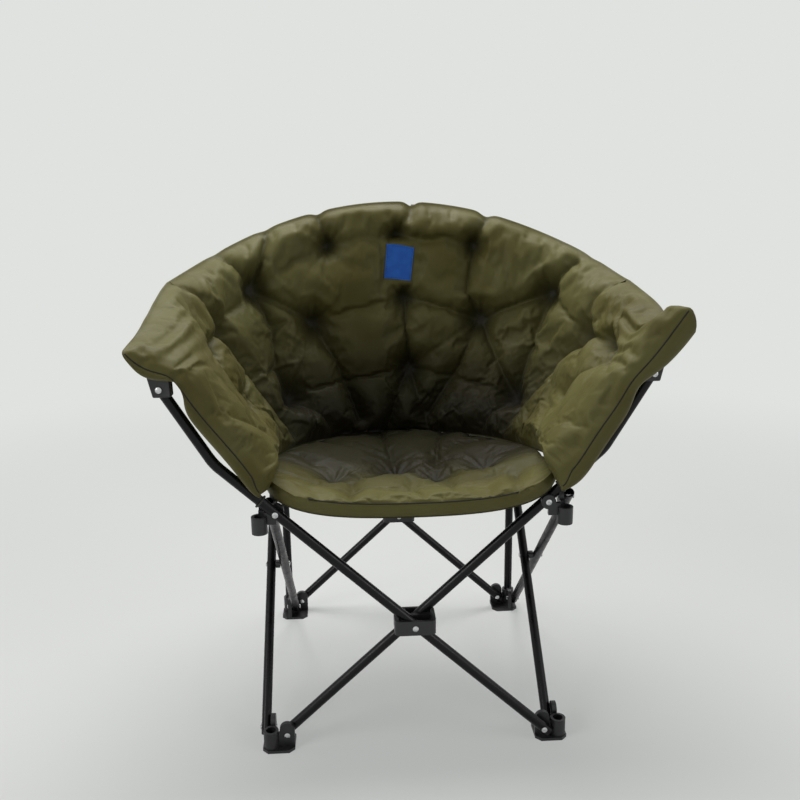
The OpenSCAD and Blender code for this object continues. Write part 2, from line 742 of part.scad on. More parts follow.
module back_sling() {
    spots = [
        for (i = [0:back_count - 1], j = [0:sling_row_count - 1])
            [lerp(-back_edge_share, back_edge_share, i / (back_count - 1)), j / (sling_row_count - 1)]
    ];
    color(dark_olive) polyhedron(
        points = concat(
            [for (s = spots) offset_wall(s.x, s.y, -sling_gap - sling_t)],
            [for (s = spots) offset_wall(s.x, s.y, -sling_gap)]),
        faces = skin_faces(back_count, sling_row_count));
}

// Seat pad and sling: rings round the middle of the seat
seat_front_power = 6;
turn_count = 48;
ring_count = 7;
function seat_r(turn) =
    abs(turn) < 90 ? round_r(turn, seat_half_w, seat_back_y - loop_centre_y, base_power)
        : round_r(turn, seat_half_w, seat_front_y + loop_centre_y, seat_front_power);
function seat_place(turn, s) =
    [seat_r(turn) * s * sin(turn), loop_centre_y + seat_r(turn) * s * cos(turn)];
function seat_level(p, s) = edge_z(p.x, p.y) - seat_sag * (1 - s * s);
seat_spots = [for (q = seat_tuft_shares) [q.x * seat_half_w, loop_centre_y + q.y * seat_half_w]];
function seat_edge_t(p) =
    lerp(quilt_edge_t, seat_front_t, clip((-p.y - half_span + quilt_roll) / quilt_roll));
function seat_fill(p, s) =
    let (edge = roll((1 - s) * seat_half_w))
    seat_edge_t(p)
    + (quilt_t - seat_edge_t(p)) * fullness(edge, p, seat_spots, seat_spots, seat_creases);

function disc_faces(rings, n) =
    let (m = 1 + rings * n, f = function(r, i) 1 + (r - 1) * n + i % n)
    concat(
        [for (i = [0:n - 1]) [0, f(1, i), f(1, i + 1)]],
        [for (r = [1:rings - 1], i = [0:n - 1], s = [0, 1])
            s == 0 ? [f(r, i), f(r + 1, i), f(r + 1, i + 1)] : [f(r, i), f(r + 1, i + 1), f(r, i + 1)]],
        [for (i = [0:n - 1]) [m, m + f(1, i + 1), m + f(1, i)]],
        [for (r = [1:rings - 1], i = [0:n - 1], s = [0, 1])
            s == 0 ? [m + f(r, i), m + f(r + 1, i + 1), m + f(r + 1, i)]
                : [m + f(r, i), m + f(r, i + 1), m + f(r + 1, i + 1)]],
        [for (i = [0:n - 1], s = [0, 1])
            s == 0 ? [f(rings, i), m + f(rings, i), m + f(rings, i + 1)]
                : [f(rings, i), m + f(rings, i + 1), f(rings, i + 1)]]
    );

ring_turns = concat([[0, 0]], [for (r = [1:ring_count], i = [0:turn_count - 1])
    [360 * (i + 0.5) / turn_count - 180, r / ring_count]]);
seat_places = [for (s = ring_turns) seat_place(s[0], s[1])];

// Underside of the seat pad, lowered by a gap
function seat_under(drop) = [
    for (i = [0:len(ring_turns) - 1])
        let (p = seat_places[i], s = ring_turns[i][1])
        [p.x, p.y, seat_level(p, s) - lerp(quilt_t, quilt_edge_t, s * s) / 2 - drop]
];

module seat_pad() {
    top = [
        for (i = [0:len(ring_turns) - 1])
            let (p = seat_places[i], s = ring_turns[i][1],
                front_rise = (seat_edge_t(p) - quilt_edge_t) * s * s)
            [p.x, p.y, seat_level(p, s) + (seat_fill(p, s) + front_rise) / 2]
    ];
    color(olive) polyhedron(
        points = concat(top, seat_under(0)), faces = disc_faces(ring_count, turn_count));
}

module seat_sling() {
    color(dark_olive) polyhedron(
        points = concat(seat_under(soft_gap), seat_under(soft_gap + sling_t)),
        faces = disc_faces(ring_count, turn_count));
}

// Label: a bare tag that lies on the fullest part of the back pad behind it
label_share = [0.01, 0.83];
label_gap = 0.9;
module label() {
    t = label_share.x;
    v = label_share.y;
    across = label_w / 2 / lerp(base_run, rim_run, v);
    up = label_h / 2 / wall_run;
    fill = max([for (i = [-1:0.5:1], j = [-1:0.5:1]) wall_depth(t + i * across, v + j * up)]);
    color(blue) translate(offset_wall(t, v, fill + cloth_t / 2 + label_gap))
        rotate([-asin(wall_normal(t, v).z), 0, 0])
            cube([label_w, cloth_t, label_h], center = true);
}

placed() foot(0);  // front_left_foot
placed() foot(1);  // front_right_foot
placed() foot(2);  // rear_right_foot
placed() foot(3);  // rear_left_foot
placed() hub(0);  // front_left_hub
placed() hub(1);  // front_right_hub
placed() hub(2);  // rear_right_hub
placed() hub(3);  // rear_left_hub
placed() corner_rivets(0, foot_pivot_z, 1);  // front_left_foot_rivets
placed() corner_rivets(1, foot_pivot_z, 1);  // front_right_foot_rivets
placed() corner_rivets(2, foot_pivot_z, 1);  // rear_right_foot_rivets
placed() corner_rivets(3, foot_pivot_z, 1);  // rear_left_foot_rivets
placed() corner_rivets(0, hub_pivot_z, -1);  // front_left_hub_rivets
placed() corner_rivets(1, hub_pivot_z, -1);  // front_right_hub_rivets
placed() corner_rivets(2, hub_pivot_z, -1);  // rear_right_hub_rivets
placed() corner_rivets(3, hub_pivot_z, -1);  // rear_left_hub_rivets
placed() mirror([1, 0, 0]) arm_tube(outer_lane);  // left_arm_tube
placed() arm_tube(inner_lane);  // right_arm_tube
placed() side_tube(1, outer_lane, 1);  // right_outer_tube
placed() side_tube(1, inner_lane, 0);  // right_inner_tube
placed() side_tube(2, outer_lane, 1);  // rear_outer_tube
placed() side_tube(2, inner_lane, 0);  // rear_inner_tube
placed() side_tube(3, outer_lane, 1);  // left_outer_tube
placed() side_tube(3, inner_lane, 0);  // left_inner_tube
placed() cross_block(0);  // front_cross_block
placed() cross_block(2);  // rear_cross_block
placed() cross_rivet(0);  // front_cross_rivet
placed() cross_rivet(2);  // rear_cross_rivet
placed() cross_bolt(1);  // right_cross_bolt
placed() cross_bolt(3);  // left_cross_bolt
placed() cross_spacer(1);  // right_cross_spacer
placed() cross_spacer(3);  // left_cross_spacer
placed() upright(1);  // left_upright
placed() upright(0);  // right_upright
placed() top_bracket(1);  // left_top_bracket
placed() top_bracket(0);  // right_top_bracket
placed() hoop(0);  // left_hoop
placed() hoop(1);  // right_hoop
placed() centre_block();  // hoop_centre_block
placed() top_pin(1);  // left_hoop_pin
placed() top_pin(0);  // right_hoop_pin
placed() centre_pins();  // centre_hoop_pins
placed() arm_bracket(1, outer_lane);  // left_arm_bracket
placed() arm_bracket(0, inner_lane);  // right_arm_bracket
placed() arm_rivet(1, outer_lane);  // left_arm_rivet
placed() arm_rivet(0, inner_lane);  // right_arm_rivet
placed() hoop_sleeve(0);  // left_hoop_sleeve
placed() hoop_sleeve(1);  // right_hoop_sleeve
placed() cord_loop(1, outer_lane);  // left_cord_loop
placed() cord_loop(0, inner_lane);  // right_cord_loop
placed() seat_pad();
placed() back_pad();
placed() wing_pad(-1);  // left_wing_pad
placed() wing_pad(1);  // right_wing_pad
placed() seat_sling();
placed() back_sling();
placed() label();
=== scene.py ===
import math
import json
import bpy
import numpy as np
from mathutils import Matrix, Vector


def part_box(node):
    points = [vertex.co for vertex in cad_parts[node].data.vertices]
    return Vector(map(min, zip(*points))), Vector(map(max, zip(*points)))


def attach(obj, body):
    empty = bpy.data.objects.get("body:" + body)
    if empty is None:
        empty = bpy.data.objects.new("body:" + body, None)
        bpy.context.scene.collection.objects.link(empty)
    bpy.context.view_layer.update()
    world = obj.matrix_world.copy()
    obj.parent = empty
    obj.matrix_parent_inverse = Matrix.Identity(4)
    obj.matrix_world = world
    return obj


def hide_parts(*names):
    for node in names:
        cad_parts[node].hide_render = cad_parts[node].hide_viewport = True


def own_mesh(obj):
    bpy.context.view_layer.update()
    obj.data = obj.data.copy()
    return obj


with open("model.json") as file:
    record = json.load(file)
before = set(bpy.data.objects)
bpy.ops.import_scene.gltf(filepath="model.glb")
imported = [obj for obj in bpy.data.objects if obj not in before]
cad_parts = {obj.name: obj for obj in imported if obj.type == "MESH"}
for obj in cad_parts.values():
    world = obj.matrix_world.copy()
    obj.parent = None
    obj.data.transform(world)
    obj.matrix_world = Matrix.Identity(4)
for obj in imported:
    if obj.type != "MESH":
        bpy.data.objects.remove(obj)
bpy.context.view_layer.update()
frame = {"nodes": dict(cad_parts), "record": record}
print("frame loaded:", len(frame["nodes"]), "solids")

# where the chair's own middle lies in the frame, read from a foot that stands square to both axes
footLow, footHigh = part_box("rear_left_foot")
chairShift = footHigh.y + footLow.x


# plain helpers
def clearSelection():
    if bpy.context.object and bpy.context.object.mode != "OBJECT":
        bpy.ops.object.mode_set(mode="OBJECT")
    bpy.ops.object.select_all(action="DESELECT")


def makeActive(piece):
    clearSelection()
    piece.select_set(True)
    bpy.context.view_layer.objects.active = piece


def applyAll(piece):
    makeActive(piece)
    for modifier in list(piece.modifiers):
        bpy.ops.object.modifier_apply(modifier=modifier.name)


def thicken(piece, thickness, offset=0):
    solid = piece.modifiers.new("thickness", "SOLIDIFY")
    solid.thickness = thickness
    solid.offset = offset
    applyAll(piece)


def faceOutward(piece):
    makeActive(piece)
    bpy.ops.object.mode_set(mode="EDIT")
    bpy.ops.mesh.select_all(action="SELECT")
    bpy.ops.mesh.normals_make_consistent(inside=False)
    bpy.ops.mesh.select_all(action="DESELECT")
    bpy.ops.object.mode_set(mode="OBJECT")


def smoothByAngle(piece, degrees):
    makeActive(piece)
    bpy.ops.object.shade_smooth_by_angle(angle=math.radians(degrees))


def meshPiece(name, points, faces, material=None):
    mesh = bpy.data.meshes.new(name)
    mesh.from_pydata([tuple(p) for p in points], [], [tuple(f) for f in faces])
    mesh.polygons.foreach_set("use_smooth", [True] * len(mesh.polygons))
    if material:
        mesh.materials.append(material)
    piece = bpy.data.objects.new(name, mesh)
    bpy.context.scene.collection.objects.link(piece)
    return piece


def lerp(a, b, share):
    return a + (b - a) * share


def bell(distance, width):
    return np.exp(-(distance / width) ** 2)


def rise(value, start, end):
    share = np.clip((value - start) / (end - start), 0, 1)
    return share * share * (3 - 2 * share)


def unitRows(vectors):
    return vectors / np.maximum(np.linalg.norm(vectors, axis=-1, keepdims=True), 1e-12)


def ovalReach(turn, wide, deep, power):  # how far an oval's edge is from its middle
    return ((np.abs(np.sin(turn)) / wide) ** power + (np.abs(np.cos(turn)) / deep) ** power) ** (-1 / power)


def softNoise(points, size, seed):  # smooth lattice noise from -1 to 1, the same on each run
    spots = points / size
    low = np.floor(spots).astype(int)
    part = spots - low
    part = part * part * (3 - 2 * part)

    def corner(dx, dy):
        mixed = np.sin((low[..., 0] + dx) * 127.1 + (low[..., 1] + dy) * 311.7 + seed * 74.7) * 43758.5453
        return mixed - np.floor(mixed)

    near = lerp(corner(0, 0), corner(1, 0), part[..., 0])
    far = lerp(corner(0, 1), corner(1, 1), part[..., 0])
    return lerp(near, far, part[..., 1]) * 2 - 1


# shader groups
def newGroup(name, inputs, outputs):
    group = bpy.data.node_groups.new(name, "ShaderNodeTree")
    for label, kind, value in inputs:
        socket = group.interface.new_socket(name=label, in_out="INPUT", socket_type=kind)
        if value is not None:
            socket.default_value = value
    for label, kind in outputs:
        group.interface.new_socket(name=label, in_out="OUTPUT", socket_type=kind)
    return group, group.nodes.new("NodeGroupInput"), group.nodes.new("NodeGroupOutput")


def addNode(tree, kind, values=None, **settings):
    node = tree.nodes.new(kind)
    for key, value in settings.items():
        setattr(node, key, value)
    for key, value in (values or {}).items():
        node.inputs[key].default_value = value
    return node


def makeWeaveGroup():
    group, entry, leave = newGroup(
        "plainWeave",
        [("Vector", "NodeSocketVector", None), ("Threads", "NodeSocketFloat", 1400.0)],
        [("Height", "NodeSocketFloat")])
    split = addNode(group, "ShaderNodeSeparateXYZ")
    group.links.new(entry.outputs["Vector"], split.inputs[0])
    waves = []
    for axis in (0, 1):
        scaled = addNode(group, "ShaderNodeMath", operation="MULTIPLY")
        wave = addNode(group, "ShaderNodeMath", operation="SINE")
        group.links.new(split.outputs[axis], scaled.inputs[0])
        group.links.new(entry.outputs["Threads"], scaled.inputs[1])
        group.links.new(scaled.outputs[0], wave.inputs[0])
        waves.append(wave)
    crossed = addNode(group, "ShaderNodeMath", operation="MULTIPLY")
    group.links.new(waves[0].outputs[0], crossed.inputs[0])
    group.links.new(waves[1].outputs[0], crossed.inputs[1])
    group.links.new(crossed.outputs[0], leave.inputs["Height"])
    return group


def makeMottleGroup():
    group, entry, leave = newGroup(
        "softMottle",
        [("Vector", "NodeSocketVector", None), ("Scale", "NodeSocketFloat", 8.0),
         ("Low", "NodeSocketFloat", 0.35), ("High", "NodeSocketFloat", 0.7)],
        [("Mask", "NodeSocketFloat")])
    noise = addNode(group, "ShaderNodeTexNoise", {"Detail": 5.0, "Roughness": 0.55})
    span = addNode(group, "ShaderNodeMapRange", interpolation_type="SMOOTHSTEP")
    group.links.new(entry.outputs["Vector"], noise.inputs["Vector"])
    group.links.new(entry.outputs["Scale"], noise.inputs["Scale"])
    group.links.new(noise.outputs["Fac"], span.inputs["Value"])
    group.links.new(entry.outputs["Low"], span.inputs["From Min"])
    group.links.new(entry.outputs["High"], span.inputs["From Max"])
    group.links.new(span.outputs["Result"], leave.inputs["Mask"])
    return group


weaveGroup = makeWeaveGroup()
mottleGroup = makeMottleGroup()


def newMaterial(name, colour, roughness, metallic=0.0, **sockets):
    material = bpy.data.materials.new(name)
    material.use_nodes = True
    tree = material.node_tree
    shader = tree.nodes["Principled BSDF"]
    shader.inputs["Base Color"].default_value = (*colour, 1)
    shader.inputs["Roughness"].default_value = roughness
    shader.inputs["Metallic"].default_value = metallic
    for key, value in sockets.items():
        shader.inputs[key.replace("_", " ")].default_value = value
    return material, tree, shader, addNode(tree, "ShaderNodeTexCoord").outputs["Object"]


def mixColours(tree, mask, low, high, shader=None):
    mix = addNode(tree, "ShaderNodeMix", data_type="RGBA")
    for key, colour in (("A", low), ("B", high)):
        if isinstance(colour, tuple):
            mix.inputs[key].default_value = (*colour, 1)
        else:
            tree.links.new(colour, mix.inputs[key])
    tree.links.new(mask, mix.inputs["Factor"])
    if shader:
        tree.links.new(mix.outputs["Result"], shader.inputs["Base Color"])
    return mix.outputs["Result"]


def spanRoughness(tree, mask, low, high, shader):
    span = addNode(tree, "ShaderNodeMapRange", {"To Min": low, "To Max": high})
    tree.links.new(mask, span.inputs["Value"])
    tree.links.new(span.outputs["Result"], shader.inputs["Roughness"])


def placeGroup(tree, group, vector, **values):
    node = tree.nodes.new("ShaderNodeGroup")
    node.node_tree = group
    for key, value in values.items():
        node.inputs[key].default_value = value
    tree.links.new(vector, node.inputs["Vector"])
    return node.outputs[0]


def addTexture(tree, kind, place, values, **settings):
    texture = addNode(tree, kind, values, **settings)
    tree.links.new(place, texture.inputs["Vector"])
    return texture.outputs["Fac"]


def bumpChain(tree, shader, layers):
    below = None
    for height, strength, distance in layers:
        bump = addNode(tree, "ShaderNodeBump", {"Strength": strength, "Distance": distance})
        tree.links.new(height, bump.inputs["Height"])
        if below:
            tree.links.new(below.outputs["Normal"], bump.inputs["Normal"])
        below = bump
    tree.links.new(below.outputs["Normal"], shader.inputs["Normal"])


# the near-black colour below is painted shade for the cloth's folds, tufts and deep parts
clothLook = {
    "olive": (0.128, 0.120, 0.040), "oliveDeep": (0.094, 0.082, 0.022), "fold": (0.006, 0.005, 0.003),
    "backing": (0.050, 0.048, 0.026), "roughness": (0.44, 0.60), "specular": 0.16, "sheenRoughness": 0.4,
    "shadeScale": 6.0, "wearScale": 23.0, "crinkleScale": 46.0, "crinkleHeight": 0.0013,
    "threadsPerMetre": 1500, "weaveStrength": 0.35, "weaveHeight": 0.00012,
}


def clothMaterial(name, light, deep, crinkle, sheen, withPaintedShade):
    material, tree, shader, place = newMaterial(name, light, 0.5, Specular_IOR_Level=clothLook["specular"],
                                                Sheen_Weight=sheen, Sheen_Roughness=clothLook["sheenRoughness"])
    surface = addNode(tree, "ShaderNodeUVMap", uv_map="cloth").outputs["UV"]
    shade = placeGroup(tree, mottleGroup, place, Scale=clothLook["shadeScale"])
    colour = mixColours(tree, shade, light, deep, None if withPaintedShade else shader)
    if withPaintedShade:  # painted shade: the colour darkens to near black in folds, tufts and the deep middle, as the foldShade attribute says
        fold = addNode(tree, "ShaderNodeAttribute", attribute_name="foldShade")
        mixColours(tree, fold.outputs["Fac"], colour, clothLook["fold"], shader)
    wear = placeGroup(tree, mottleGroup, place, Scale=clothLook["wearScale"])
    spanRoughness(tree, wear, *clothLook["roughness"], shader)
    weave = placeGroup(tree, weaveGroup, surface, Threads=clothLook["threadsPerMetre"] * math.tau)
    creases = addTexture(tree, "ShaderNodeTexNoise", place,
                         {"Scale": clothLook["crinkleScale"], "Detail": 3.0, "Distortion": 0.9})
    bumpChain(tree, shader, [(creases, crinkle, clothLook["crinkleHeight"]),
                             (weave, clothLook["weaveStrength"], clothLook["weaveHeight"])])
    return material


def paintMaterial():
    material, tree, shader, place = newMaterial("blackPowderCoat", (0.005, 0.005, 0.0055), 0.3,
                                                Specular_IOR_Level=0.2, Coat_Weight=0.02, Coat_Roughness=0.12)
    speckle = placeGroup(tree, mottleGroup, place, Scale=60.0)
    spanRoughness(tree, speckle, 0.24, 0.4, shader)
    peel = addTexture(tree, "ShaderNodeTexNoise", place, {"Scale": 900.0, "Detail": 2.0})
    bumpChain(tree, shader, [(peel, 0.25, 0.0001)])
    return material


def nylonMaterial():
    material, tree, shader, place = newMaterial("blackNylon", (0.016, 0.016, 0.018), 0.45)
    scuff = placeGroup(tree, mottleGroup, place, Scale=40.0, Low=0.45, High=0.75)
    mixColours(tree, scuff, (0.014, 0.014, 0.016), (0.026, 0.026, 0.028), shader)
    spanRoughness(tree, scuff, 0.38, 0.6, shader)
    grain = addTexture(tree, "ShaderNodeTexNoise", place, {"Scale": 1600.0, "Detail": 3.0})
    bumpChain(tree, shader, [(grain, 0.4, 0.00015)])
    return material


def rivetMaterial():
    material, tree, shader, place = newMaterial("platedSteel", (0.62, 0.62, 0.63), 0.3, 1.0)
    marks = placeGroup(tree, mottleGroup, place, Scale=220.0)
    spanRoughness(tree, marks, 0.22, 0.45, shader)
    mixColours(tree, marks, (0.66, 0.66, 0.67), (0.45, 0.45, 0.46), shader)
    return material


def labelMaterial():
    material, tree, shader, place = newMaterial("blueSatin", (0.012, 0.120, 0.56), 0.5, Sheen_Weight=0.1,
                                                Specular_IOR_Level=0.35)
    surface = addNode(tree, "ShaderNodeUVMap", uv_map="cloth").outputs["UV"]
    shade = placeGroup(tree, mottleGroup, place, Scale=60.0)
    mixColours(tree, shade, (0.010, 0.110, 0.52), (0.018, 0.140, 0.60), shader)
    weave = placeGroup(tree, weaveGroup, surface, Threads=2200 * math.tau)
    bumpChain(tree, shader, [(weave, 0.5, 0.0001)])
    return material


def threadMaterial(name, colour):
    material, tree, shader, place = newMaterial(name, colour, 0.65, Specular_IOR_Level=0.3)
    twist = addTexture(tree, "ShaderNodeTexWave", place, {"Scale": 260.0, "Distortion": 1.5},
                       bands_direction="DIAGONAL")
    # painted shade: the colour darkens in the grooves of the twist, where the bump is lowest
    mixColours(tree, twist, tuple(c * 0.6 for c in colour), colour, shader)
    bumpChain(tree, shader, [(twist, 0.6, 0.0003)])
    return material


oliveCloth = clothMaterial("oliveCloth", clothLook["olive"], clothLook["oliveDeep"], 0.4, 0.03, True)
backingCloth = clothMaterial("backingCloth", clothLook["backing"], tuple(c * 0.8 for c in clothLook["backing"]),
                             0.25, 0.08, False)
blackPaint = paintMaterial()
blackNylon = nylonMaterial()
platedSteel = rivetMaterial()
blueSatin = labelMaterial()
seamThread = threadMaterial("seamThread", (0.010, 0.010, 0.008))
labelThread = threadMaterial("labelThread", (0.012, 0.060, 0.26))
tieCord = threadMaterial("tieCord", (0.055, 0.055, 0.045))
print("materials made")


def dressSolids():
    looks = {"frame_tube": blackPaint, "moulding": blackNylon, "rivet_steel": platedSteel}
    slots = {row["node"]: row["material_slot"] for row in frame["record"]["subparts"]}
    for name, piece in frame["nodes"].items():
        look = looks.get(slots[name])
        if look:
            piece.data.materials.clear()
            piece.data.materials.append(look)


dressSolids()

# the camera, lamps and floor
view = {
    "place": (-0.0860, -1.4907, 0.8991), "pitch": 0.2483, "roll": -0.0137, "yaw": -0.0538,
    "focalPixels": 876.3, "framePixels": 800, "sensor": 36.0,
}
room = {
    "backdrop": (0.74, 0.76, 0.74), "fill": 0.10, "floor": (0.74, 0.75, 0.74), "fadeFrom": 0.55, "fadeTo": 2.6,
    "nearGlow": 0.45,
}


def makeCamera():
    camera = bpy.data.objects.new("camera", bpy.data.cameras.new("camera"))
    bpy.context.scene.collection.objects.link(camera)
    camera.data.sensor_width = view["sensor"]
    camera.data.lens = view["sensor"] * view["focalPixels"] / view["framePixels"]
    turnYaw = Matrix.Rotation(view["yaw"], 3, "Z")
    ahead = Vector((0, math.cos(view["pitch"]), -math.sin(view["pitch"])))
    right = Vector((1, 0, 0))
    up = right.cross(ahead)
    rolledRight = right * math.cos(view["roll"]) + up * math.sin(view["roll"])
    rolledUp = up * math.cos(view["roll"]) - right * math.sin(view["roll"])
    axes = [turnYaw @ rolledRight, turnYaw @ rolledUp, turnYaw @ (-ahead)]
    place = Vector(view["place"]) + Vector((0, chairShift, 0))
    camera.matrix_world = Matrix.Translation(place) @ Matrix(axes).transposed().to_4x4()
    bpy.context.scene.camera = camera


def addLamp(name, place, aim, size, power, colour):
    lamp = bpy.data.objects.new(name, bpy.data.lights.new(name, "AREA"))
    lamp.data.shape = "RECTANGLE"
    lamp.data.size, lamp.data.size_y = size
    lamp.data.energy = power
    lamp.data.color = colour
    lamp.location = place
    lamp.rotation_euler = (Vector(aim) - Vector(place)).to_track_quat("-Z", "Y").to_euler()
    bpy.context.scene.collection.objects.link(lamp)


def seenRay(tree):  # one where the backdrop is seen directly or in gloss
    path = addNode(tree, "ShaderNodeLightPath")
    either = addNode(tree, "ShaderNodeMath", operation="MAXIMUM")
    tree.links.new(path.outputs["Is Camera Ray"], either.inputs[0])
    tree.links.new(path.outputs["Is Glossy Ray"], either.inputs[1])
    return either.outputs[0]


def makeRoom():
    world = bpy.data.worlds.new("studio")
    world.use_nodes = True
    bpy.context.scene.world = world
    tree = world.node_tree
    tree.nodes.clear()
    seen = addNode(tree, "ShaderNodeBackground", {"Color": (*room["backdrop"], 1), "Strength": 1.0})
    fill = addNode(tree, "ShaderNodeBackground", {"Color": (0.9, 0.93, 1.0, 1), "Strength": room["fill"]})
    mix = addNode(tree, "ShaderNodeMixShader")
    out = addNode(tree, "ShaderNodeOutputWorld")
    tree.links.new(seenRay(tree), mix.inputs["Fac"])
    tree.links.new(fill.outputs[0], mix.inputs[1])
    tree.links.new(seen.outputs[0], mix.inputs[2])
    tree.links.new(mix.outputs[0], out.inputs["Surface"])
    addLamp("overheadLamp", (-0.1, 0.75, 2.9), (0, 0, 0.5), (2.0, 1.4), 70, (1.0, 0.99, 0.97))
    addLamp("frontLamp", (-2.4, -1.4, 1.7), (0, 0, 0.45), (1.4, 1.2), 25, (1.0, 0.99, 0.98))
    addLamp("sideLamp", (2.4, -1.4, 1.5), (0, 0, 0.5), (1.2, 1.2), 14, (1.0, 0.99, 0.98))


def makeFloor():
    clearSelection()
    bpy.ops.mesh.primitive_plane_add(size=60, location=(0, 0, 0))
    floor = bpy.context.object
    floor.name = "floor"
    material, tree, shader, place = newMaterial("paleFloor", room["floor"], 0.8, Specular_IOR_Level=0.2)
    drift = placeGroup(tree, mottleGroup, place, Scale=1.2)
    mixColours(tree, drift, room["floor"], tuple(c * 0.97 for c in room["floor"]), shader)
    glow = addNode(tree, "ShaderNodeEmission", {"Color": (*room["backdrop"], 1), "Strength": 1.0})
    reach = addNode(tree, "ShaderNodeVectorMath", operation="LENGTH")
    fade = addNode(tree, "ShaderNodeMapRange", {
        "From Min": room["fadeFrom"], "From Max": room["fadeTo"], "To Min": room["nearGlow"], "To Max": 1.0},
        interpolation_type="SMOOTHSTEP")
    share = addNode(tree, "ShaderNodeMath", operation="MULTIPLY")
    mix = addNode(tree, "ShaderNodeMixShader")
    tree.links.new(place, reach.inputs[0])
    tree.links.new(reach.outputs["Value"], fade.inputs["Value"])
    tree.links.new(fade.outputs["Result"], share.inputs[0])
    tree.links.new(seenRay(tree), share.inputs[1])
    tree.links.new(share.outputs[0], mix.inputs["Fac"])
    tree.links.new(shader.outputs[0], mix.inputs[1])
    tree.links.new(glow.outputs[0], mix.inputs[2])
    tree.links.new(mix.outputs[0], tree.nodes["Material Output"].inputs["Surface"])
    floor.data.materials.append(material)


makeCamera()
makeRoom()
makeFloor()
bpy.context.scene.view_settings.view_transform = "Standard"
print("camera, lamps and floor made")

# the bucket's wall: t runs from -1 at the left tip round the back to 1, v from the seat to the rim
bucket = {
    "turnShare": 0.72, "power": (1.8, 3.0), "halfWide": (0.2382, 0.400), "centreY": (-0.080, -0.100),
    "backY": (0.1748, 0.219), "frontHalfWide": (0.2204, 0.400), "frontY": (-0.2516, -0.279),
    "rimTop": 0.848, "rimSideDrop": 0.125, "rimTipDrop": 0.038,
    "seatEdge": 0.412, "sideRise": 0.014, "cornerRise": 0.026, "cornerFrom": 0.175,
    "lean": (1.0, 0.33), "leanUp": (0.23, 0.19), "leanBy": 0.84,
}


def loopPlace(t, which):
    k = np.abs(t)
    turn = np.radians(90) * np.minimum(1, k / bucket["turnShare"])
    halfWide, centreY = bucket["halfWide"][which], bucket["centreY"][which]
    reach = ovalReach(turn, halfWide, bucket["backY"][which] - centreY, bucket["power"][which])
    ahead = np.clip((k - bucket["turnShare"]) / (1 - bucket["turnShare"]), 0, 1)
    inTurn = k < bucket["turnShare"]
    x = np.where(inTurn, reach * np.sin(turn), lerp(halfWide, bucket["frontHalfWide"][which], ahead))
    y = np.where(inTurn, centreY + reach * np.cos(turn), lerp(centreY, bucket["frontY"][which], ahead))
    return np.sign(t) * x, y


def seatEdgeHeight(x, y):
    across = np.abs(x) / bucket["halfWide"][0]
    return (bucket["seatEdge"] + bucket["sideRise"] * across ** 2
            + bucket["cornerRise"] * across ** 4 * np.clip(-y / bucket["cornerFrom"], 0, 1))


def wallPlace(t, v):
    t, v = np.asarray(t, float), np.asarray(v, float)
    lowX, lowY = loopPlace(t, 0)
    topX, topY = loopPlace(t, 1)
    lowZ = seatEdgeHeight(lowX, lowY)
    topZ = (bucket["rimTop"] - bucket["rimSideDrop"] * (topX / bucket["halfWide"][1]) ** 2
            - bucket["rimTipDrop"] * np.maximum(0, topY / bucket["frontY"][1]))
    out = lerp(*bucket["lean"], np.clip(np.abs(t) / bucket["leanBy"], 0, 1))
    up = lerp(*bucket["leanUp"], np.abs(t))
    low = np.stack([lowX, lowY + chairShift, lowZ], -1)
    top = np.stack([topX, topY + chairShift, topZ], -1)
    middle = low + (top - low) * np.stack([out, out, up], -1)
    v = v[..., None]
    return (1 - v) ** 2 * low + 2 * v * (1 - v) * middle + v ** 2 * top


def wallNormal(t, v, step=0.002):
    along = wallPlace(np.minimum(1, t + step), v) - wallPlace(np.maximum(-1, t - step), v)
    upward = wallPlace(t, np.minimum(1, v + step)) - wallPlace(t, np.maximum(0, v - step))
    return unitRows(np.cross(along, upward))


# the quilt: tufts as (t, v), and folds that run between tufts or from a tuft to a place (t, v)
quilt = {
    "columns": 481, "rows": 121, "full": 0.046, "edge": 0.009, "frontEdge": (0.018, 0.023), "roll": 0.040,
    "tuftWidth": 0.021, "tuftDepth": 0.93, "foldDepth": 0.70, "panelEdge": 0.6, "cap": 0.010,
    "frontRoll": 0.030, "wingBaseRoll": 0.020, "underTag": 0.037, "behind": 0.0016, "rimHalf": 0.78,
    "rimLift": 0.0020, "notchDepth": 0.0080, "notchWide": 0.012, "rimBulge": 0.006, "baseBulge": 0.001,
    # foldShade, deepShade and edgeShade set how much shade is painted into the cloth
    "frontBulge": 0.004, "foldShade": 0.9, "deepShade": 0.88, "edgeShade": 0.15,
}
tag = {"share": (0.008, 0.833), "wide": 0.053, "tall": 0.064, "turn": -0.11, "cuts": 28, "thick": 0.0009,
       "lift": 0.0010, "stitchIn": 0.0030, "stitchEach": 0.0042, "stitchLong": 0.0026, "stitchRadius": 0.00028}
tufts = [
    (-0.550, 0.790), (-0.380, 0.845), (-0.183, 0.905), (0.002, 0.915), (0.208, 0.905), (0.408, 0.828),
    (0.600, 0.757), (-0.238, 0.655), (0.022, 0.715), (0.237, 0.652), (0.035, 0.415), (-0.375, 0.315),
    (0.400, 0.300), (-0.640, 0.430), (-0.670, 0.745), (0.730, 0.800), (0.810, 0.787),
]
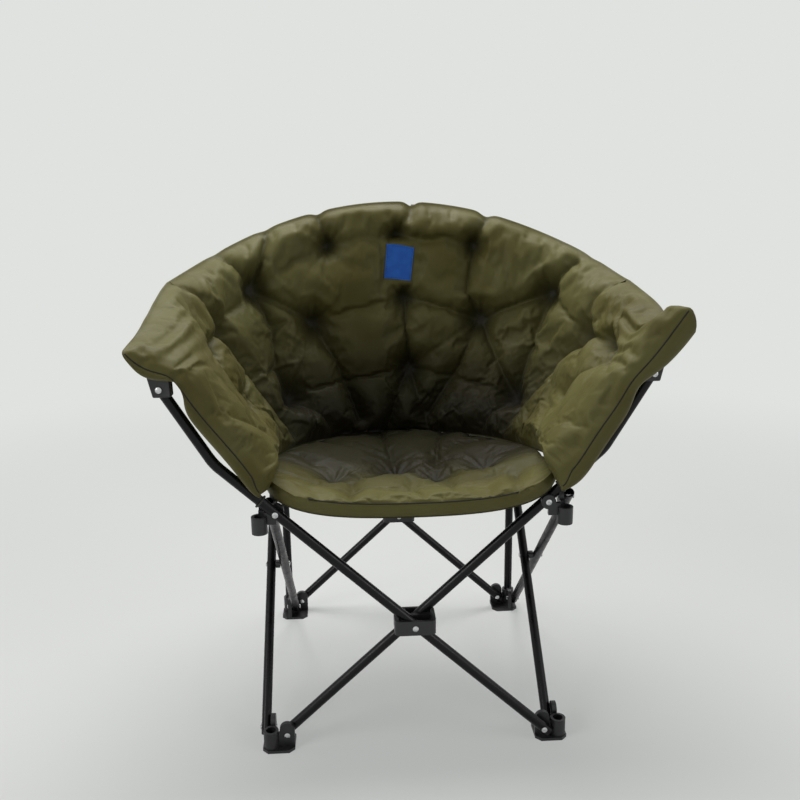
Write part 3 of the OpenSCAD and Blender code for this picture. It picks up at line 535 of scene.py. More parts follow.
folds = [  # the tufts or places it passes, its depth, and its half width
    ((2, (-0.200, 1.0)), 1.0, 0.011), ((3, (0.045, 1.0)), 0.6, 0.010), ((4, (0.235, 1.0)), 0.9, 0.011),
    ((1, (-0.320, 1.0)), 1.0, 0.012), ((1, (-0.435, 1.0)), 0.8, 0.012), ((2, 3), 0.6, 0.011),
    ((3, 4), 0.65, 0.011), ((1, 7), 1.0, 0.013), ((1, 2), 0.3, 0.020), ((0, (-0.60, 1.0)), 0.6, 0.014),
    ((0, 1), 0.35, 0.018), ((5, (0.46, 0.975)), 0.9, 0.012), ((4, (0.198, 0.755), 9), 0.8, 0.012),
    ((7, 8), 0.3, 0.022), ((8, 9), 0.9, 0.012), ((9, 5), 1.0, 0.013), ((5, 6), 0.35, 0.018),
    ((8, (0.030, 0.56), 10), 0.95, 0.015), ((7, (-0.19, 0.45), (-0.15, 0.12)), 0.9, 0.015),
    ((9, (0.20, 0.45), (0.11, 0.15)), 0.7, 0.016), ((9, (0.31, 0.48), 12), 0.9, 0.014),
    ((10, (-0.01, 0.25), (-0.05, 0.0)), 0.8, 0.015), ((10, (0.08, 0.22), (0.12, 0.0)), 0.8, 0.015),
    ((1, (-0.36, 0.675), (-0.385, 0.5), 11), 1.0, 0.015), ((11, (-0.31, 0.15), (-0.27, 0.0)), 0.7, 0.014),
    ((5, (0.405, 0.6), 12), 0.95, 0.016), ((12, (0.36, 0.12), (0.33, 0.0)), 0.8, 0.014),
    ((10, 11), 0.25, 0.020), ((10, 12), 0.3, 0.020),
    ((6, (0.53, 0.6), (0.47, 0.3), (0.44, 0.0)), 0.85, 0.015), ((6, (0.585, 0.9), (0.60, 1.0)), 0.5, 0.014),
    ((6, 15), 0.75, 0.012), ((15, 16), 0.5, 0.012), ((16, (0.76, 0.62), (0.68, 0.42)), 0.5, 0.018),
    ((0, (-0.50, 0.49), (-0.46, 0.0)), 1.0, 0.015), ((0, 14), 0.6, 0.012), ((14, (-0.70, 0.62)), 0.55, 0.010),
    ((13, (-0.58, 0.30), (-0.55, 0.05)), 0.4, 0.015), ((13, (-0.69, 0.60)), 0.3, 0.018),
    ((12, 6), 0.3, 0.018), ((7, 11), 0.35, 0.020), ((9, 10), 0.4, 0.020),
]
rimNotches = [(-0.435, 0.2), (-0.320, 0.35), (-0.200, 0.7), (0.045, 1.0), (0.235, 0.9), (0.480, 0.2)]
ears = {  # left and right: how the tips turn, how the brackets pinch the quilt, where its foot goes
    "seam": ((-0.0190, 0, -0.0230), (0.0130, 0, 0.0180)), "back": ((0.0, 0, -0.0310), (0.0050, 0, -0.0060)),
    "pinchHeight": (0.622, 0.606), "pinchWide": 0.026,
    "pinchSeam": ((-0.002, 0, 0.009), (-0.003, 0, 0.004)), "pinchBack": ((0.021, 0, 0.012), (-0.010, 0, 0.006)),
    "foot": ((-0.013, -0.010, 0.0), (0.011, -0.003, -0.010)), "footAt": (0.0, 0.15), "footFrom": (0.965, 0.955),
}


def makeLengths(columns=200, rows=100):  # how far each place of the wall is along it and up it, in metres
    t, v = np.meshgrid(np.linspace(-1, 1, columns + 1), np.linspace(0, 1, rows + 1), indexing="ij")
    wall = wallPlace(t, v)
    along, upward = np.zeros(t.shape), np.zeros(t.shape)
    along[1:] = np.cumsum(np.linalg.norm(np.diff(wall, axis=0), axis=-1), axis=0)
    upward[:, 1:] = np.cumsum(np.linalg.norm(np.diff(wall, axis=1), axis=-1), axis=1)
    return np.stack([along - along[columns // 2], upward], -1)


lengths = makeLengths()


def fromGrid(grid, t, v):
    a = (np.asarray(t, float) + 1) / 2 * (grid.shape[0] - 1)
    b = np.asarray(v, float) * (grid.shape[1] - 1)
    i = np.clip(a.astype(int), 0, grid.shape[0] - 2)
    j = np.clip(b.astype(int), 0, grid.shape[1] - 2)
    a, b = (a - i)[..., None], (b - j)[..., None]
    return lerp(lerp(grid[i, j], grid[i + 1, j], a), lerp(grid[i, j + 1], grid[i + 1, j + 1], a), b)


def clothPlace(t, v):
    return fromGrid(lengths, t, v)


def toLine(points, a, b):
    along = b - a
    share = np.clip(((points - a) @ along) / (along @ along), 0, 1)
    return np.linalg.norm(points - a - share[..., None] * along, axis=-1), share


def rollOf(distance, width):
    d = np.clip(distance / width, 0, 1)
    return np.sqrt(np.maximum(0, 1 - (1 - d) ** 2))


def foldField(points, toPlace, tuftPlaces, foldLines, settings):
    keep, ridge, fan = np.ones(points.shape[:-1]), np.zeros(points.shape[:-1]), np.zeros(points.shape[:-1])
    spots = [toPlace(*place) for place in tuftPlaces]
    for route, depth, wide in foldLines:
        places = [spots[stop] if isinstance(stop, int) else toPlace(*stop) for stop in route]
        nearest, taper = np.full(keep.shape, 9.0), np.zeros(keep.shape)
        for k in range(len(places) - 1):
            distance, share = toLine(points, places[k], places[k + 1])
            along = (k + share) / (len(places) - 1)
            taper = np.where(distance < nearest, 0.8 + 0.2 * np.cos(math.tau * along), taper)
            nearest = np.minimum(nearest, distance)
        keep *= 1 - settings["foldDepth"] * depth * taper * np.exp(-(nearest / wide) ** 1.2)
        ridge += depth * taper * bell(nearest - 2.2 * wide, 1.2 * wide)
    for k, spot in enumerate(spots):
        arm = points - spot
        r = np.linalg.norm(arm, axis=-1)
        turn = np.arctan2(arm[..., 1], arm[..., 0])
        keep *= 1 - settings["tuftDepth"] * np.exp(-(r / settings["tuftWidth"]) ** 1.4)
        rays = np.cos((6 + k % 3) * turn + 1.7 * k) + 0.6 * np.cos((10 + k % 4) * turn + 2.9 * k)
        fan += 0.0011 * (r / 0.017) * np.exp(1 - r / 0.017) * rays
    return keep, np.clip(ridge, 0, 1.3), fan


def clothCrinkle(points):
    soft = 0.0032 * softNoise(points, 0.105, 3) + 0.0018 * softNoise(points * np.array([1.0, 0.6]), 0.043, 5)
    pinches = np.clip(1 - 3.2 * np.abs(softNoise(points * np.array([1.0, 0.55]) + 0.3, 0.062, 9)), 0, 1)
    gate = np.clip(softNoise(points, 0.13, 12) + 0.25, 0, 1)
    return soft - 0.0022 * pinches * gate


def quiltHeight(t, v):
    points = clothPlace(t, v)
    keep, ridge, fan = foldField(points, clothPlace, tufts, folds, quilt)
    rim, front = clothPlace(t, np.ones(t.shape)), clothPlace(np.sign(t) + (t == 0), v)
    toRim, toBase, toFront = rim[..., 1] - points[..., 1], points[..., 1], np.abs(front[..., 0] - points[..., 0])
    roll = (rollOf(toFront, quilt["frontRoll"]) * rollOf(toRim, quilt["roll"])
            * rollOf(toBase, lerp(quilt["roll"], quilt["wingBaseRoll"], rise(np.abs(t), 0.5, 0.8))))
    frontEdge = np.where(t < 0, quilt["frontEdge"][0], quilt["frontEdge"][1])
    edge = lerp(quilt["edge"], frontEdge, np.clip((np.abs(t) - 0.84) / 0.16, 0, 1) * rise(v, 0.0, 0.2))
    tipFolds = rise(np.abs(t), 0.66, 0.82) * (1 - rise(np.abs(t), 0.95, 1.0)) * bell(toRim, 0.075)
    wave = np.sin(math.tau * (toRim + 0.05 * np.abs(t)) / 0.026 + 1.8 * softNoise(points, 0.07, 21))
    gathers = np.sin(math.tau * points[..., 0] / 0.023 + 2.4 * softNoise(points, 0.06, 31)) * np.exp(-toRim / 0.026)
    height = edge + (quilt["full"] - edge) * roll * keep * (0.93 + 0.13 * ridge)
    height += roll * (fan + clothCrinkle(points) + 0.0032 * tipFolds * wave + 0.0009 * gathers)
    own = np.abs(points - clothPlace(*tag["share"])) - np.array([tag["wide"], tag["tall"]]) / 2
    patch = 1 - rise(np.linalg.norm(np.maximum(own, 0), axis=-1), 0.002, 0.016)
    height = lerp(height, quilt["underTag"], patch)
    # painted shade: darker in the bucket's low middle and in the folds and tufts, but not under the tag
    deep = quilt["deepShade"] * (1 - rise(v, 0.15, 0.88)) * (1 - rise(np.abs(t), 0.38, 0.66))
    shade = quilt["foldShade"] * (1 - keep) ** 2 * (1 - patch)
    return height, 1 - (1 - shade) * (1 - deep), keep, patch


def gridFaces(columns, rows, flip=False, start=0):
    i, j = np.meshgrid(np.arange(columns - 1), np.arange(rows - 1), indexing="ij")
    a = (i * rows + j).ravel() + start
    quads = np.stack([a, a + rows, a + rows + 1, a + 1], -1)
    return quads[:, ::-1] if flip else quads


def spread(field, columns, rows):  # a coarse grid's field brought to a finer grid, smoothly
    for axis, count in ((0, columns), (1, rows)):
        have = field.shape[axis]
        where = np.linspace(0, have - 1, count)
        low = np.clip(np.floor(where).astype(int), 0, have - 2)
        s = (where - low).reshape([-1 if k == axis else 1 for k in range(field.ndim)])

        def row(step):
            return np.take(field, np.clip(low + step, 0, have - 1), axis=axis)

        before, a, b, after = row(-1), row(0), row(1), row(2)
        square, cube = 2 * before - 5 * a + 4 * b - after, 3 * (a - b) + after - before
        field = a + 0.5 * s * (b - before + s * (square + s * cube))
    return field


clothRun = {"step": 2, "frames": 14}
clothForces = {
    "quality": 5, "mass": 0.25, "tension_stiffness": 18, "compression_stiffness": 18, "shear_stiffness": 6,
    "bending_stiffness": 0.12, "air_damping": 4, "vertex_group_mass": "sewn", "pin_stiffness": 1.0,
    "shrink_min": -0.035, "use_pressure": True, "uniform_pressure_force": 2.0,
}


def relaxCloth(points, keep, cap, patch=0):  # held at its edges, tufts, folds and patch
    held = np.maximum(np.clip(1.15 - keep * 1.4, 0, 1), patch)
    held[0], held[-1], held[:, 0], held[:, -1] = 1, 1, 1, 1
    step = clothRun["step"]
    coarse = points[::step, ::step]
    columns, rows = coarse.shape[:2]
    weights = held[::step, ::step].ravel()
    skin = meshPiece("clothSkin", coarse.reshape(-1, 3), gridFaces(columns, rows))
    group = skin.vertex_groups.new(name="sewn")
    for weight in np.unique(np.round(weights[weights > 0.02], 1)):
        members = np.nonzero(np.abs(weights - weight) < 0.05)[0].tolist()
        group.add(members, float(weight), "REPLACE")
    cloth = skin.modifiers.new("cloth", "CLOTH")
    for key, value in clothForces.items():
        setattr(cloth.settings, key, value)
    cloth.settings.effector_weights.gravity = 0
    cloth.collision_settings.use_collision = False
    cloth.point_cache.frame_start = 1
    cloth.point_cache.frame_end = clothRun["frames"]
    scene = bpy.context.scene
    for number in range(1, clothRun["frames"] + 1):
        scene.frame_set(number)
    shaped = skin.evaluated_get(bpy.context.evaluated_depsgraph_get())
    moved = np.array([p.co for p in shaped.data.vertices], float)
    bpy.data.objects.remove(skin)
    scene.frame_set(1)
    shift = moved - coarse.reshape(-1, 3)
    reach = np.linalg.norm(shift, axis=1, keepdims=True)
    mean, most = float(reach.mean()) * 1000, float(reach.max()) * 1000
    print("cloth moved", round(mean, 2), "mm on average,", round(most, 1), "at most")
    shift *= np.minimum(1, cap / np.maximum(reach, 1e-9))
    return points + spread(shift.reshape(columns, rows, 3), *points.shape[:2])


def ringOf(columns, rows):
    low = [(i, 0) for i in range(columns)]
    right = [(columns - 1, j) for j in range(1, rows)]
    top = [(i, rows - 1) for i in range(columns - 2, -1, -1)]
    left = [(0, j) for j in range(rows - 2, 0, -1)]
    return low + right + top + left


def closePad(name, inner, outer, outward, bulge, places, shade, edgeShade, bandRows=4):
    columns, rows = inner.shape[:2]
    count = columns * rows
    points = [inner.reshape(-1, 3), outer.reshape(-1, 3)]
    faces = [gridFaces(columns, rows), gridFaces(columns, rows, True, count)]
    ringIndex = np.array([i * rows + j for i, j in ringOf(columns, rows)])
    innerRing, outerRing = points[0][ringIndex], points[1][ringIndex]
    previous = ringIndex
    for band in range(1, bandRows + 2):
        share = band / (bandRows + 1)
        if band <= bandRows:
            lift = bulge[:, None] * math.sin(math.pi * share) ** 0.7
            points.append(lerp(innerRing, outerRing, share) + outward * lift)
            current = 2 * count + (band - 1) * len(ringIndex) + np.arange(len(ringIndex))
        else:
            current = ringIndex + count
        faces.append(np.stack([np.roll(previous, -1), previous, current, np.roll(current, -1)], -1))
        previous = current
    piece = meshPiece(name, np.concatenate(points), np.concatenate(faces), oliveCloth)
    places = places.reshape(-1, 2)
    setClothUv(piece, np.concatenate([places, places] + [places[ringIndex]] * bandRows))
    # painted shade on the pad's face and its side band, stored in the foldShade attribute; the hidden face gets none
    ringShade = np.where(bulge > 0, edgeShade, shade.ravel()[ringIndex])
    values = np.concatenate([shade.ravel(), np.zeros(count)] + [ringShade] * bandRows).astype(np.float32)
    piece.data.attributes.new("foldShade", "FLOAT", "POINT").data.foreach_set("value", values)
    return piece


def setClothUv(piece, places):
    layer = piece.data.uv_layers.new(name="cloth")
    corners = np.zeros(len(piece.data.loops), np.int32)
    piece.data.loops.foreach_get("vertex_index", corners)
    layer.data.foreach_set("uv", places[corners].astype(np.float32).ravel())


def rimSag(t, v):  # the rim hangs a little lower towards the tips
    k = np.abs(t)
    left = 0.011 * rise(k, 0.60, 0.80) * (1 - rise(k, 0.84, 1.0))
    right = 0.012 * rise(k, 0.42, 0.62) * (1 - rise(k, 0.86, 1.0)) + 0.010 * bell(k - 0.87, 0.06)
    return np.where(t < 0, left, right) * rise(v, 0.5, 1.0)


def shapeEars(t, v, skin, outer):
    k = np.abs(t)
    tip = rise(k, 0.80, 1.0) * rise(v, 0.76, 1.0)
    sag = rimSag(t, v)
    for side in (0, 1):
        here = (t < 0) if side == 0 else (t >= 0)
        pinch = here * rise(k, 0.86, 0.97) * bell(skin[..., 2] - ears["pinchHeight"][side], ears["pinchWide"])
        foot = here * rise(k, ears["footFrom"][side], 1.0) * bell(v - ears["footAt"][side], 0.28)
        for grid, turned, squeezed in ((skin, "seam", "pinchSeam"), (outer, "back", "pinchBack")):
            for share, moved in ((tip * here, turned), (pinch, squeezed), (foot, "foot")):
                grid += share[..., None] * np.array(ears[moved][side])
    for grid in (skin, outer):
        grid[..., 2] -= sag


def makeQuilt():
    t, v = np.meshgrid(np.linspace(-1, 1, quilt["columns"]), np.linspace(0, 1, quilt["rows"]), indexing="ij")
    wall, normal = wallPlace(t, v), wallNormal(t, v)
    height, shade, keep, patch = quiltHeight(t, v)
    skin = wall + normal * height[..., None]
    skin = relaxCloth(skin, keep, quilt["cap"], patch)
    places = clothPlace(t, v)
    ripple = 0.0012 * softNoise(places, 0.05, 41) * rise(1 - np.abs(t), 0, 0.05) * rise(v, 0, 0.1)
    outer = wall + normal * (quilt["behind"] + np.abs(ripple) + 0.004 * np.clip(1 - keep - 0.5, 0, 1))[..., None]
    notches = [deep * bell((t - spot) * quilt["rimHalf"], quilt["notchWide"]) for spot, deep in rimNotches]
    lift = quilt["rimLift"] - quilt["notchDepth"] * np.max(notches, axis=0)
    lift = lift * rise(v, 0.84, 1.0) * (1 - rise(np.abs(t), 0.70, 0.85))
    upward = unitRows(wallPlace(t, np.minimum(1, v + 0.01)) - wallPlace(t, np.maximum(0, v - 0.01)))
    skin, outer = skin + upward * lift[..., None], outer + upward * lift[..., None]
    shapeEars(t, v, skin, outer)
    made, last, top = {}, quilt["columns"] - 1, quilt["rows"] - 1
    left = int(round((1 - quilt["panelEdge"]) / 2 * last))
    for name, start, end in (("leftWingQuilt", 0, left), ("backQuilt", left, last - left),
                             ("rightWingQuilt", last - left, last)):
        part = slice(start, end + 1)
        edgeOut, bulge = [], []
        for i, j in ringOf(end - start + 1, quilt["rows"]):
            i += start
            direction, reach = np.zeros(3), 0.0
            if j == top:
                direction, reach = direction + unitRows(wall[i, j] - wall[i, j - 1]), quilt["rimBulge"]
            if j == 0:
                direction, reach = direction + unitRows(wall[i, j] - wall[i, 1]), quilt["baseBulge"]
            if i in (0, last):
                direction = direction + unitRows(wall[i, j] - wall[1 if i == 0 else last - 1, j])
                reach = max(reach, quilt["frontBulge"])
            edgeOut.append(unitRows(direction) if reach else direction)
            bulge.append(reach)
        made[name] = closePad(name, skin[part], outer[part], np.array(edgeOut), np.array(bulge), places[part],
                              shade[part], quilt["edgeShade"])
    return made, skin, normal


quiltPieces, quiltSkin, wallNormals = makeQuilt()
print("quilt made")

# the seat, on a square grid that is bent to its outline
seat = {
    "halfWide": 0.228, "backReach": 0.245, "frontReach": 0.175, "centreY": -0.080, "powers": (1.8, 6.0),
    "columns": 161, "rows": 161, "sag": 0.016, "sink": 0.004, "full": 0.045, "edge": 0.009, "frontEdge": 0.021,
    "roll": 0.042, "tuftWidth": 0.026, "tuftDepth": 0.85, "foldDepth": 0.6, "cap": 0.008, "bulge": 0.007,
    # foldShade, rearShade and edgeShade set how much shade is painted into the seat's cloth
    "frontLess": 0.003, "foldShade": 0.85, "rearShade": 0.85, "edgeShade": 0.1,
}
seatTufts = [(-0.08, 0.10), (0.21, -0.04), (-0.55, -0.10), (0.60, 0.05)]
seatFolds = [
    ((0, 1), 0.5, 0.012), ((0, (-0.13, 0.67), (-0.16, 1.0)), 0.9, 0.015),
    ((1, (0.29, 0.57), (0.36, 0.95)), 0.8, 0.015),
    ((0, (-0.40, -0.20), (-0.42, -0.75)), 0.7, 0.011), ((1, (0.30, -0.35), (0.28, -0.62)), 0.4, 0.014),
    ((0, 2), 0.4, 0.018), ((1, 3), 0.4, 0.018), ((2, (-0.80, 0.27)), 0.5, 0.014), ((3, (0.86, 0.20)), 0.5, 0.014),
    (((0.76, -0.35), (0.71, -0.60), (0.67, -0.92)), 0.9, 0.010), ((2, (-0.70, -0.55)), 0.3, 0.014),
    (((-0.85, -0.30), (-0.50, -0.42), (-0.10, -0.40), (0.30, -0.36), (0.85, -0.28)), 0.45, 0.020),
    (((0.02, -0.45), (0.10, -0.85)), 0.4, 0.010),
]


def seatSpot(across, back):
    return np.array([across, back]) * seat["halfWide"]


def makeSeat():
    u, w = np.meshgrid(np.linspace(-1, 1, seat["columns"]), np.linspace(-1, 1, seat["rows"]), indexing="ij")
    discX, discY = u * np.sqrt(1 - w ** 2 / 2), w * np.sqrt(1 - u ** 2 / 2)
    turn, share = np.arctan2(discX, discY), np.hypot(discX, discY)
    behind = np.abs(turn) < math.pi / 2
    deep = np.where(behind, seat["backReach"], seat["frontReach"])
    reach = ovalReach(turn, seat["halfWide"], deep, np.where(behind, *seat["powers"]))
    x, y = reach * share * np.sin(turn), seat["centreY"] + reach * share * np.cos(turn)
    level = seatEdgeHeight(x, y) - seat["sink"] - seat["sag"] * (1 - share ** 2)
    flat = np.stack([x, y - seat["centreY"]], -1)
    keep, ridge, fan = foldField(flat, seatSpot, seatTufts, seatFolds, seat)
    front = rise(-y, 0.16, 0.235)
    edge = lerp(seat["edge"], seat["frontEdge"], front)
    roll = rollOf((1 - share) * seat["halfWide"], seat["roll"])
    swell = roll * keep * (0.92 + 0.14 * ridge)
    top = level + (edge + (seat["full"] - edge) * swell) / 2 + front * share ** 2 * (edge - seat["edge"]) / 2
    top = top + roll * (fan + clothCrinkle(flat + 2.0))
    under = level - lerp(seat["full"], seat["edge"], share ** 2) / 2
    skin = np.stack([x, y + chairShift, top], -1)
    outer = np.stack([x, y + chairShift, under], -1)
    skin = relaxCloth(skin, keep, seat["cap"])
    # painted shade: darker in the folds and tufts and towards the rear, where the back shades the seat
    shade = 1 - (1 - seat["foldShade"] * (1 - keep) ** 1.8) * (1 - seat["rearShade"] * rise(y, -0.22, -0.03))
    ring = ringOf(seat["columns"], seat["rows"])
    outward = unitRows(np.array([[*flat[spot], 0.0] for spot in ring]))
    bulge = np.array([seat["bulge"] - seat["frontLess"] * front[spot] for spot in ring])
    piece = closePad("seatQuilt", skin, outer, outward, bulge, flat, shade, seat["edgeShade"])
    return piece, skin, outer


seatPiece, seatSkin, seatUnder = makeSeat()
print("seat made")


# round cord or thread along a path, and shapes joined into one piece
def tubeAlong(path, radius, sides=6, closed=False):
    path = np.asarray(path, float)
    ahead = np.roll(path, -1, 0) - np.roll(path, 1, 0)
    if not closed:
        ahead[0], ahead[-1] = path[1] - path[0], path[-1] - path[-2]
    ahead = unitRows(ahead)
    side = unitRows(np.cross(ahead, np.array([0.13, 0.2, 0.97])))
    lift = np.cross(side, ahead)
    turn = np.arange(sides)[None, :, None] * math.tau / sides
    points = path[:, None] + radius * (np.cos(turn) * side[:, None] + np.sin(turn) * lift[:, None])
    count, faces = len(path), []
    for i in range(count if closed else count - 1):
        here, after = i * sides, (i + 1) % count * sides
        faces += [[here + k, here + (k + 1) % sides, after + (k + 1) % sides, after + k] for k in range(sides)]
    if not closed:
        faces += [list(range(sides))[::-1], [(count - 1) * sides + k for k in range(sides)]]
    return points.reshape(-1, 3), faces


def joinShapes(name, shapes, material):
    points, faces, start = [], [], 0
    for spots, sides in shapes:
        points.extend(spots)
        faces.extend([[p + start for p in face] for face in sides])
        start += len(spots)
    return meshPiece(name, points, faces, material)


def seamPiece(name, path, radius):
    return joinShapes(name, [tubeAlong(path, radius)], seamThread)


seams = {"radius": 0.0011, "seatRadius": 0.0010, "seatShift": (0, -0.0008, 0.0006)}
leftSeam = seamPiece("leftSeam", quiltSkin[0, 2:-1], seams["radius"])
rightSeam = seamPiece("rightSeam", quiltSkin[-1, 2:-1], seams["radius"])
seatSeam = seamPiece("seatSeam", seatSkin[3:-3, 0] + np.array(seams["seatShift"]), seams["seatRadius"])

# the cloth behind the back and under the seat, and the sleeves on the hoops
sling = {"columns": 161, "rows": 41, "gap": 0.0016, "slack": 0.0009, "thick": 0.0012, "rimDrop": 0.003,
         "seatGap": 0.0006}


def makeBackSling():
    columns, rows, edge = sling["columns"], sling["rows"], quilt["panelEdge"]
    t, v = np.meshgrid(np.linspace(-edge, edge, columns), np.linspace(0, 1, rows), indexing="ij")
    normal = wallNormal(t, v)
    ripple = 0.0012 * np.sin(t * 61 + 3 * v) * v * (1 - v) + 0.0010 * np.sin(t * 27 - 7 * v) * v * (1 - v)
    places = wallPlace(t, v) - normal * (sling["gap"] + sling["thick"] / 2 + sling["slack"] + ripple)[..., None]
    places[..., 2] -= rimSag(t, v) + sling["rimDrop"] * rise(v, 0.9, 1.0)
    piece = meshPiece("backSling", places.reshape(-1, 3), gridFaces(columns, rows), backingCloth)
    setClothUv(piece, clothPlace(t, v).reshape(-1, 2))
    return piece


def makeSeatSling():
    places = seatUnder - np.array([0, 0, sling["seatGap"] + sling["thick"] / 2])
    piece = meshPiece("seatSling", places.reshape(-1, 3), gridFaces(seat["columns"], seat["rows"]), backingCloth)
    setClothUv(piece, places.reshape(-1, 3)[:, :2])
    return piece


backSling = makeBackSling()
seatSling = makeSeatSling()
for piece in (backSling, seatSling):
    thicken(piece, sling["thick"])

hoopSleeve = {"outer": 0.0085, "thick": 0.0011, "seam": 0.0128, "bow": 0.064, "endGap": 0.0213, "stations": 72,
              "sides": 28}


def hoopArc(side):
    pinLow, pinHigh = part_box("left_hoop_pin" if side < 0 else "right_hoop_pin")
    low = (pinLow + pinHigh) / 2
    middleLow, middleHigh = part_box("centre_hoop_pins")
    radius = (middleHigh.z - middleLow.z) / 2
    top = Vector((side * (middleHigh.x - radius), low.y, (middleLow.z + middleHigh.z) / 2))
    chord = (top - low).length
    bendRadius = (chord ** 2 / 4 + hoopSleeve["bow"] ** 2) / (2 * hoopSleeve["bow"])
    outward = Vector((0, 1, 0)).cross(top - low).normalized()
    if outward.z < 0:
        outward = -outward
    centre = (low + top) / 2 + outward * (hoopSleeve["bow"] - bendRadius)
    half = math.asin(chord / 2 / bendRadius)
    return centre, outward, (top - low).normalized(), bendRadius, half


def makeSleeve(side):
    centre, outward, along, radius, half = hoopArc(side)
    margin = hoopSleeve["endGap"] / radius
    stations, sides = hoopSleeve["stations"], hoopSleeve["sides"]
    points, places = [], []
    for i in range(stations):
        share = i / (stations - 1)
        angle = lerp(-half + margin, half - margin, share)
        ray = outward * math.cos(angle) + along * math.sin(angle)
        spot = centre + ray * radius
        pucker = 1 + 0.05 * math.sin(i * 1.9) + 0.03 * math.sin(i * 0.7 + 1)
        for k in range(sides):
            turn = math.tau * k / sides
            puff = hoopSleeve["outer"] * (1 - 0.45 * (pucker - 1) - 0.03 * (k % 2))
            if k == 0:
                puff = hoopSleeve["seam"]
            elif k in (1, sides - 1):
                puff = hoopSleeve["outer"] * 0.98
            points.append(spot + Vector((0, -1, 0)) * math.cos(turn) * puff + ray * math.sin(turn) * puff)
            places.append((share * 2 * half * radius, turn * hoopSleeve["outer"]))
    faces = []
    for i in range(stations - 1):
        for k in range(sides):
            a, b = i * sides + k, i * sides + (k + 1) % sides
            faces.append((a, b, b + sides, a + sides))
    name = "leftHoopSleeve" if side < 0 else "rightHoopSleeve"
    piece = meshPiece(name, points, faces, backingCloth)
    setClothUv(piece, np.array(places))
    faceOutward(piece)
    thicken(piece, hoopSleeve["thick"], -1)
    return piece


sleeves = [makeSleeve(-1), makeSleeve(1)]
print("slings and sleeves made")


# the tag on the back: bare satin that follows the quilt, sewn down along its edges
tagMiddle, tagStep = clothPlace(*tag["share"]), 0.02
tagSpan = (clothPlace(tag["share"][0] + tagStep, tag["share"][1] + tagStep) - tagMiddle) / tagStep  # metres per share


def tagPlace(x, z, lift):  # a place over the quilt, by metres from the tag's middle
    across = x * math.cos(tag["turn"]) - z * math.sin(tag["turn"])
    upward = x * math.sin(tag["turn"]) + z * math.cos(tag["turn"])
    spot = (tag["share"][0] + across / tagSpan[0], tag["share"][1] + upward / tagSpan[1])
    return fromGrid(quiltSkin, *spot) + fromGrid(wallNormals, *spot) * lift


def makeTag():
    clearSelection()
    cuts = tag["cuts"]
    bpy.ops.mesh.primitive_grid_add(x_subdivisions=cuts, y_subdivisions=cuts, size=1, location=(0, 0, 0))
    piece = bpy.context.object
    piece.name = "labelTag"
    layer = piece.data.uv_layers[0]
    layer.name = "cloth"
    for loop in layer.data:
        loop.uv = (loop.uv[0] * tag["wide"], loop.uv[1] * tag["tall"])
    for vertex in piece.data.vertices:
        x, z = vertex.co.x * tag["wide"], vertex.co.y * tag["tall"]
        vertex.co = tagPlace(x, z, tag["lift"])
    piece.data.materials.append(blueSatin)
    thicken(piece, tag["thick"])
    smoothByAngle(piece, 40)
    return piece


def makeTagStitches():
    wide, tall = tag["wide"] / 2 - tag["stitchIn"], tag["tall"] / 2 - tag["stitchIn"]
    corners = [(-wide, -tall), (wide, -tall), (wide, tall), (-wide, tall), (-wide, -tall)]
    shapes = []
    for (ax, az), (bx, bz) in zip(corners, corners[1:]):
        length = math.hypot(bx - ax, bz - az)
        count = int(length / tag["stitchEach"])
        for k in range(count):
            start = (k + 0.2) / count
            end = start + tag["stitchLong"] / length
            path = [tagPlace(lerp(ax, bx, s), lerp(az, bz, s), tag["lift"] + tag["thick"] / 2 + rises)
                    for s, rises in ((start, 0.0), ((start + end) / 2, 0.00035), (end, 0.0))]
            shapes.append(tubeAlong(path, tag["stitchRadius"], 5))
    return joinShapes("labelStitches", shapes, labelThread)


labelTag = makeTag()
labelStitches = makeTagStitches()


# the keystone brackets on the ends of the arm tubes
bracket = {
    "low": 0.5975, "high": 0.6385, "footIn": 0.3480, "footOut": 0.3745, "topIn": 0.3490, "topOut": 0.3835,
    "bevel": 0.0022, "rim": 0.0022, "recess": 0.0010,
}


def makeBracket(side):
    low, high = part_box("left_arm_bracket" if side < 0 else "right_arm_bracket")
    clearSelection()
    bpy.ops.mesh.primitive_cube_add(size=1, location=(0, 0, 0))
    piece = bpy.context.object
    piece.name = "leftArmBracket" if side < 0 else "rightArmBracket"
    middle, deep = (low.y + high.y) / 2, high.y - low.y
    for vertex in piece.data.vertices:
        up, out = vertex.co.z > 0, vertex.co.x > 0
        key = ("top" if up else "foot") + ("Out" if out else "In")
        vertex.co = Vector((side * bracket[key], middle + vertex.co.y * deep, bracket["high" if up else "low"]))
    faceOutward(piece)
    for face in piece.data.polygons:
        face.select = abs(face.normal.y) > 0.9
    bpy.ops.object.mode_set(mode="EDIT")
    bpy.ops.mesh.select_mode(type="FACE")
    bpy.ops.mesh.inset(thickness=bracket["rim"], depth=0, use_individual=True)
    bpy.ops.mesh.inset(thickness=bracket["recess"], depth=-bracket["recess"] / 2, use_individual=True)
    bpy.ops.object.mode_set(mode="OBJECT")
    soft = piece.modifiers.new("edges", "BEVEL")
    soft.width = bracket["bevel"]
    soft.segments = 3
    soft.limit_method = "ANGLE"
    soft.angle_limit = math.radians(50)
    applyAll(piece)
    smoothByAngle(piece, 35)
    piece.data.materials.append(blackNylon)
    return piece


armBrackets = [makeBracket(-1), makeBracket(1)]


cord = {"ring": 0.0098, "radius": 0.00085, "lay": 0.0006, "strands": 3, "turns": 9, "stations": 150,
        "armSlope": math.atan2(0.388, 0.418)}


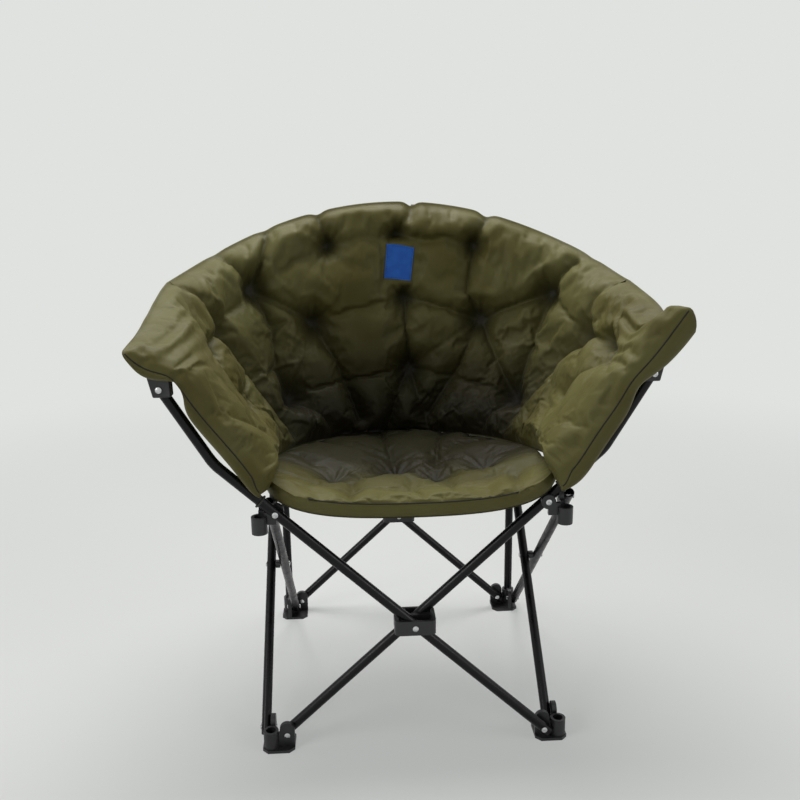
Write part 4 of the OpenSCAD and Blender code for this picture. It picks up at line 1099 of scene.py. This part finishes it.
def makeCordLoop(side):
    low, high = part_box("left_cord_loop" if side < 0 else "right_cord_loop")
    middle = np.array((low + high) / 2)
    along = np.array([side * math.cos(cord["armSlope"]), 0, math.sin(cord["armSlope"])])
    across = np.array([0.0, 1.0, 0.0])
    upward = np.cross(across, along)
    turn = np.arange(cord["stations"])[:, None] * math.tau / cord["stations"]
    ray = across * np.cos(turn) + upward * np.sin(turn)
    shapes = []
    for strand in range(cord["strands"]):
        twist = cord["turns"] * turn + math.tau * strand / cord["strands"]
        path = middle + ray * (cord["ring"] + cord["lay"] * np.cos(twist)) + along * (cord["lay"] * np.sin(twist))
        shapes.append(tubeAlong(path, cord["radius"], closed=True))
    return joinShapes("leftCordLoop" if side < 0 else "rightCordLoop", shapes, tieCord)


cordLoops = [makeCordLoop(-1), makeCordLoop(1)]
print("tag, brackets and cord loops made")

# what each piece moves with and stands for
backPieces = (quiltPieces["backQuilt"], backSling, labelTag, labelStitches)
for piece in backPieces:
    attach(piece, "hoop_centre_block")
    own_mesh(piece)
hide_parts("back_pad")
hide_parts("back_sling")
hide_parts("label")
for name, seam, body, node in (("leftWingQuilt", leftSeam, "left_wing", "left_wing_pad"),
                               ("rightWingQuilt", rightSeam, "right_wing", "right_wing_pad")):
    for piece in (quiltPieces[name], seam):
        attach(piece, body)
        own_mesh(piece)
    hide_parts(node)
for piece in (seatPiece, seatSling, seatSeam):
    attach(piece, "seat")
    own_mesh(piece)
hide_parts("seat_pad")
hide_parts("seat_sling")
for piece, body, node, slot in (
        (sleeves[0], "left_hoop", "left_hoop_sleeve", "backing_cloth"),
        (sleeves[1], "right_hoop", "right_hoop_sleeve", "backing_cloth"),
        (cordLoops[0], "left_arm_tube", "left_cord_loop", "tie_cord"),
        (cordLoops[1], "right_arm_tube", "right_cord_loop", "tie_cord"),
        (armBrackets[0], "left_arm_tube", "left_arm_bracket", "moulding"),
        (armBrackets[1], "right_arm_tube", "right_arm_bracket", "moulding")):
    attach(piece, body)
    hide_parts(node)
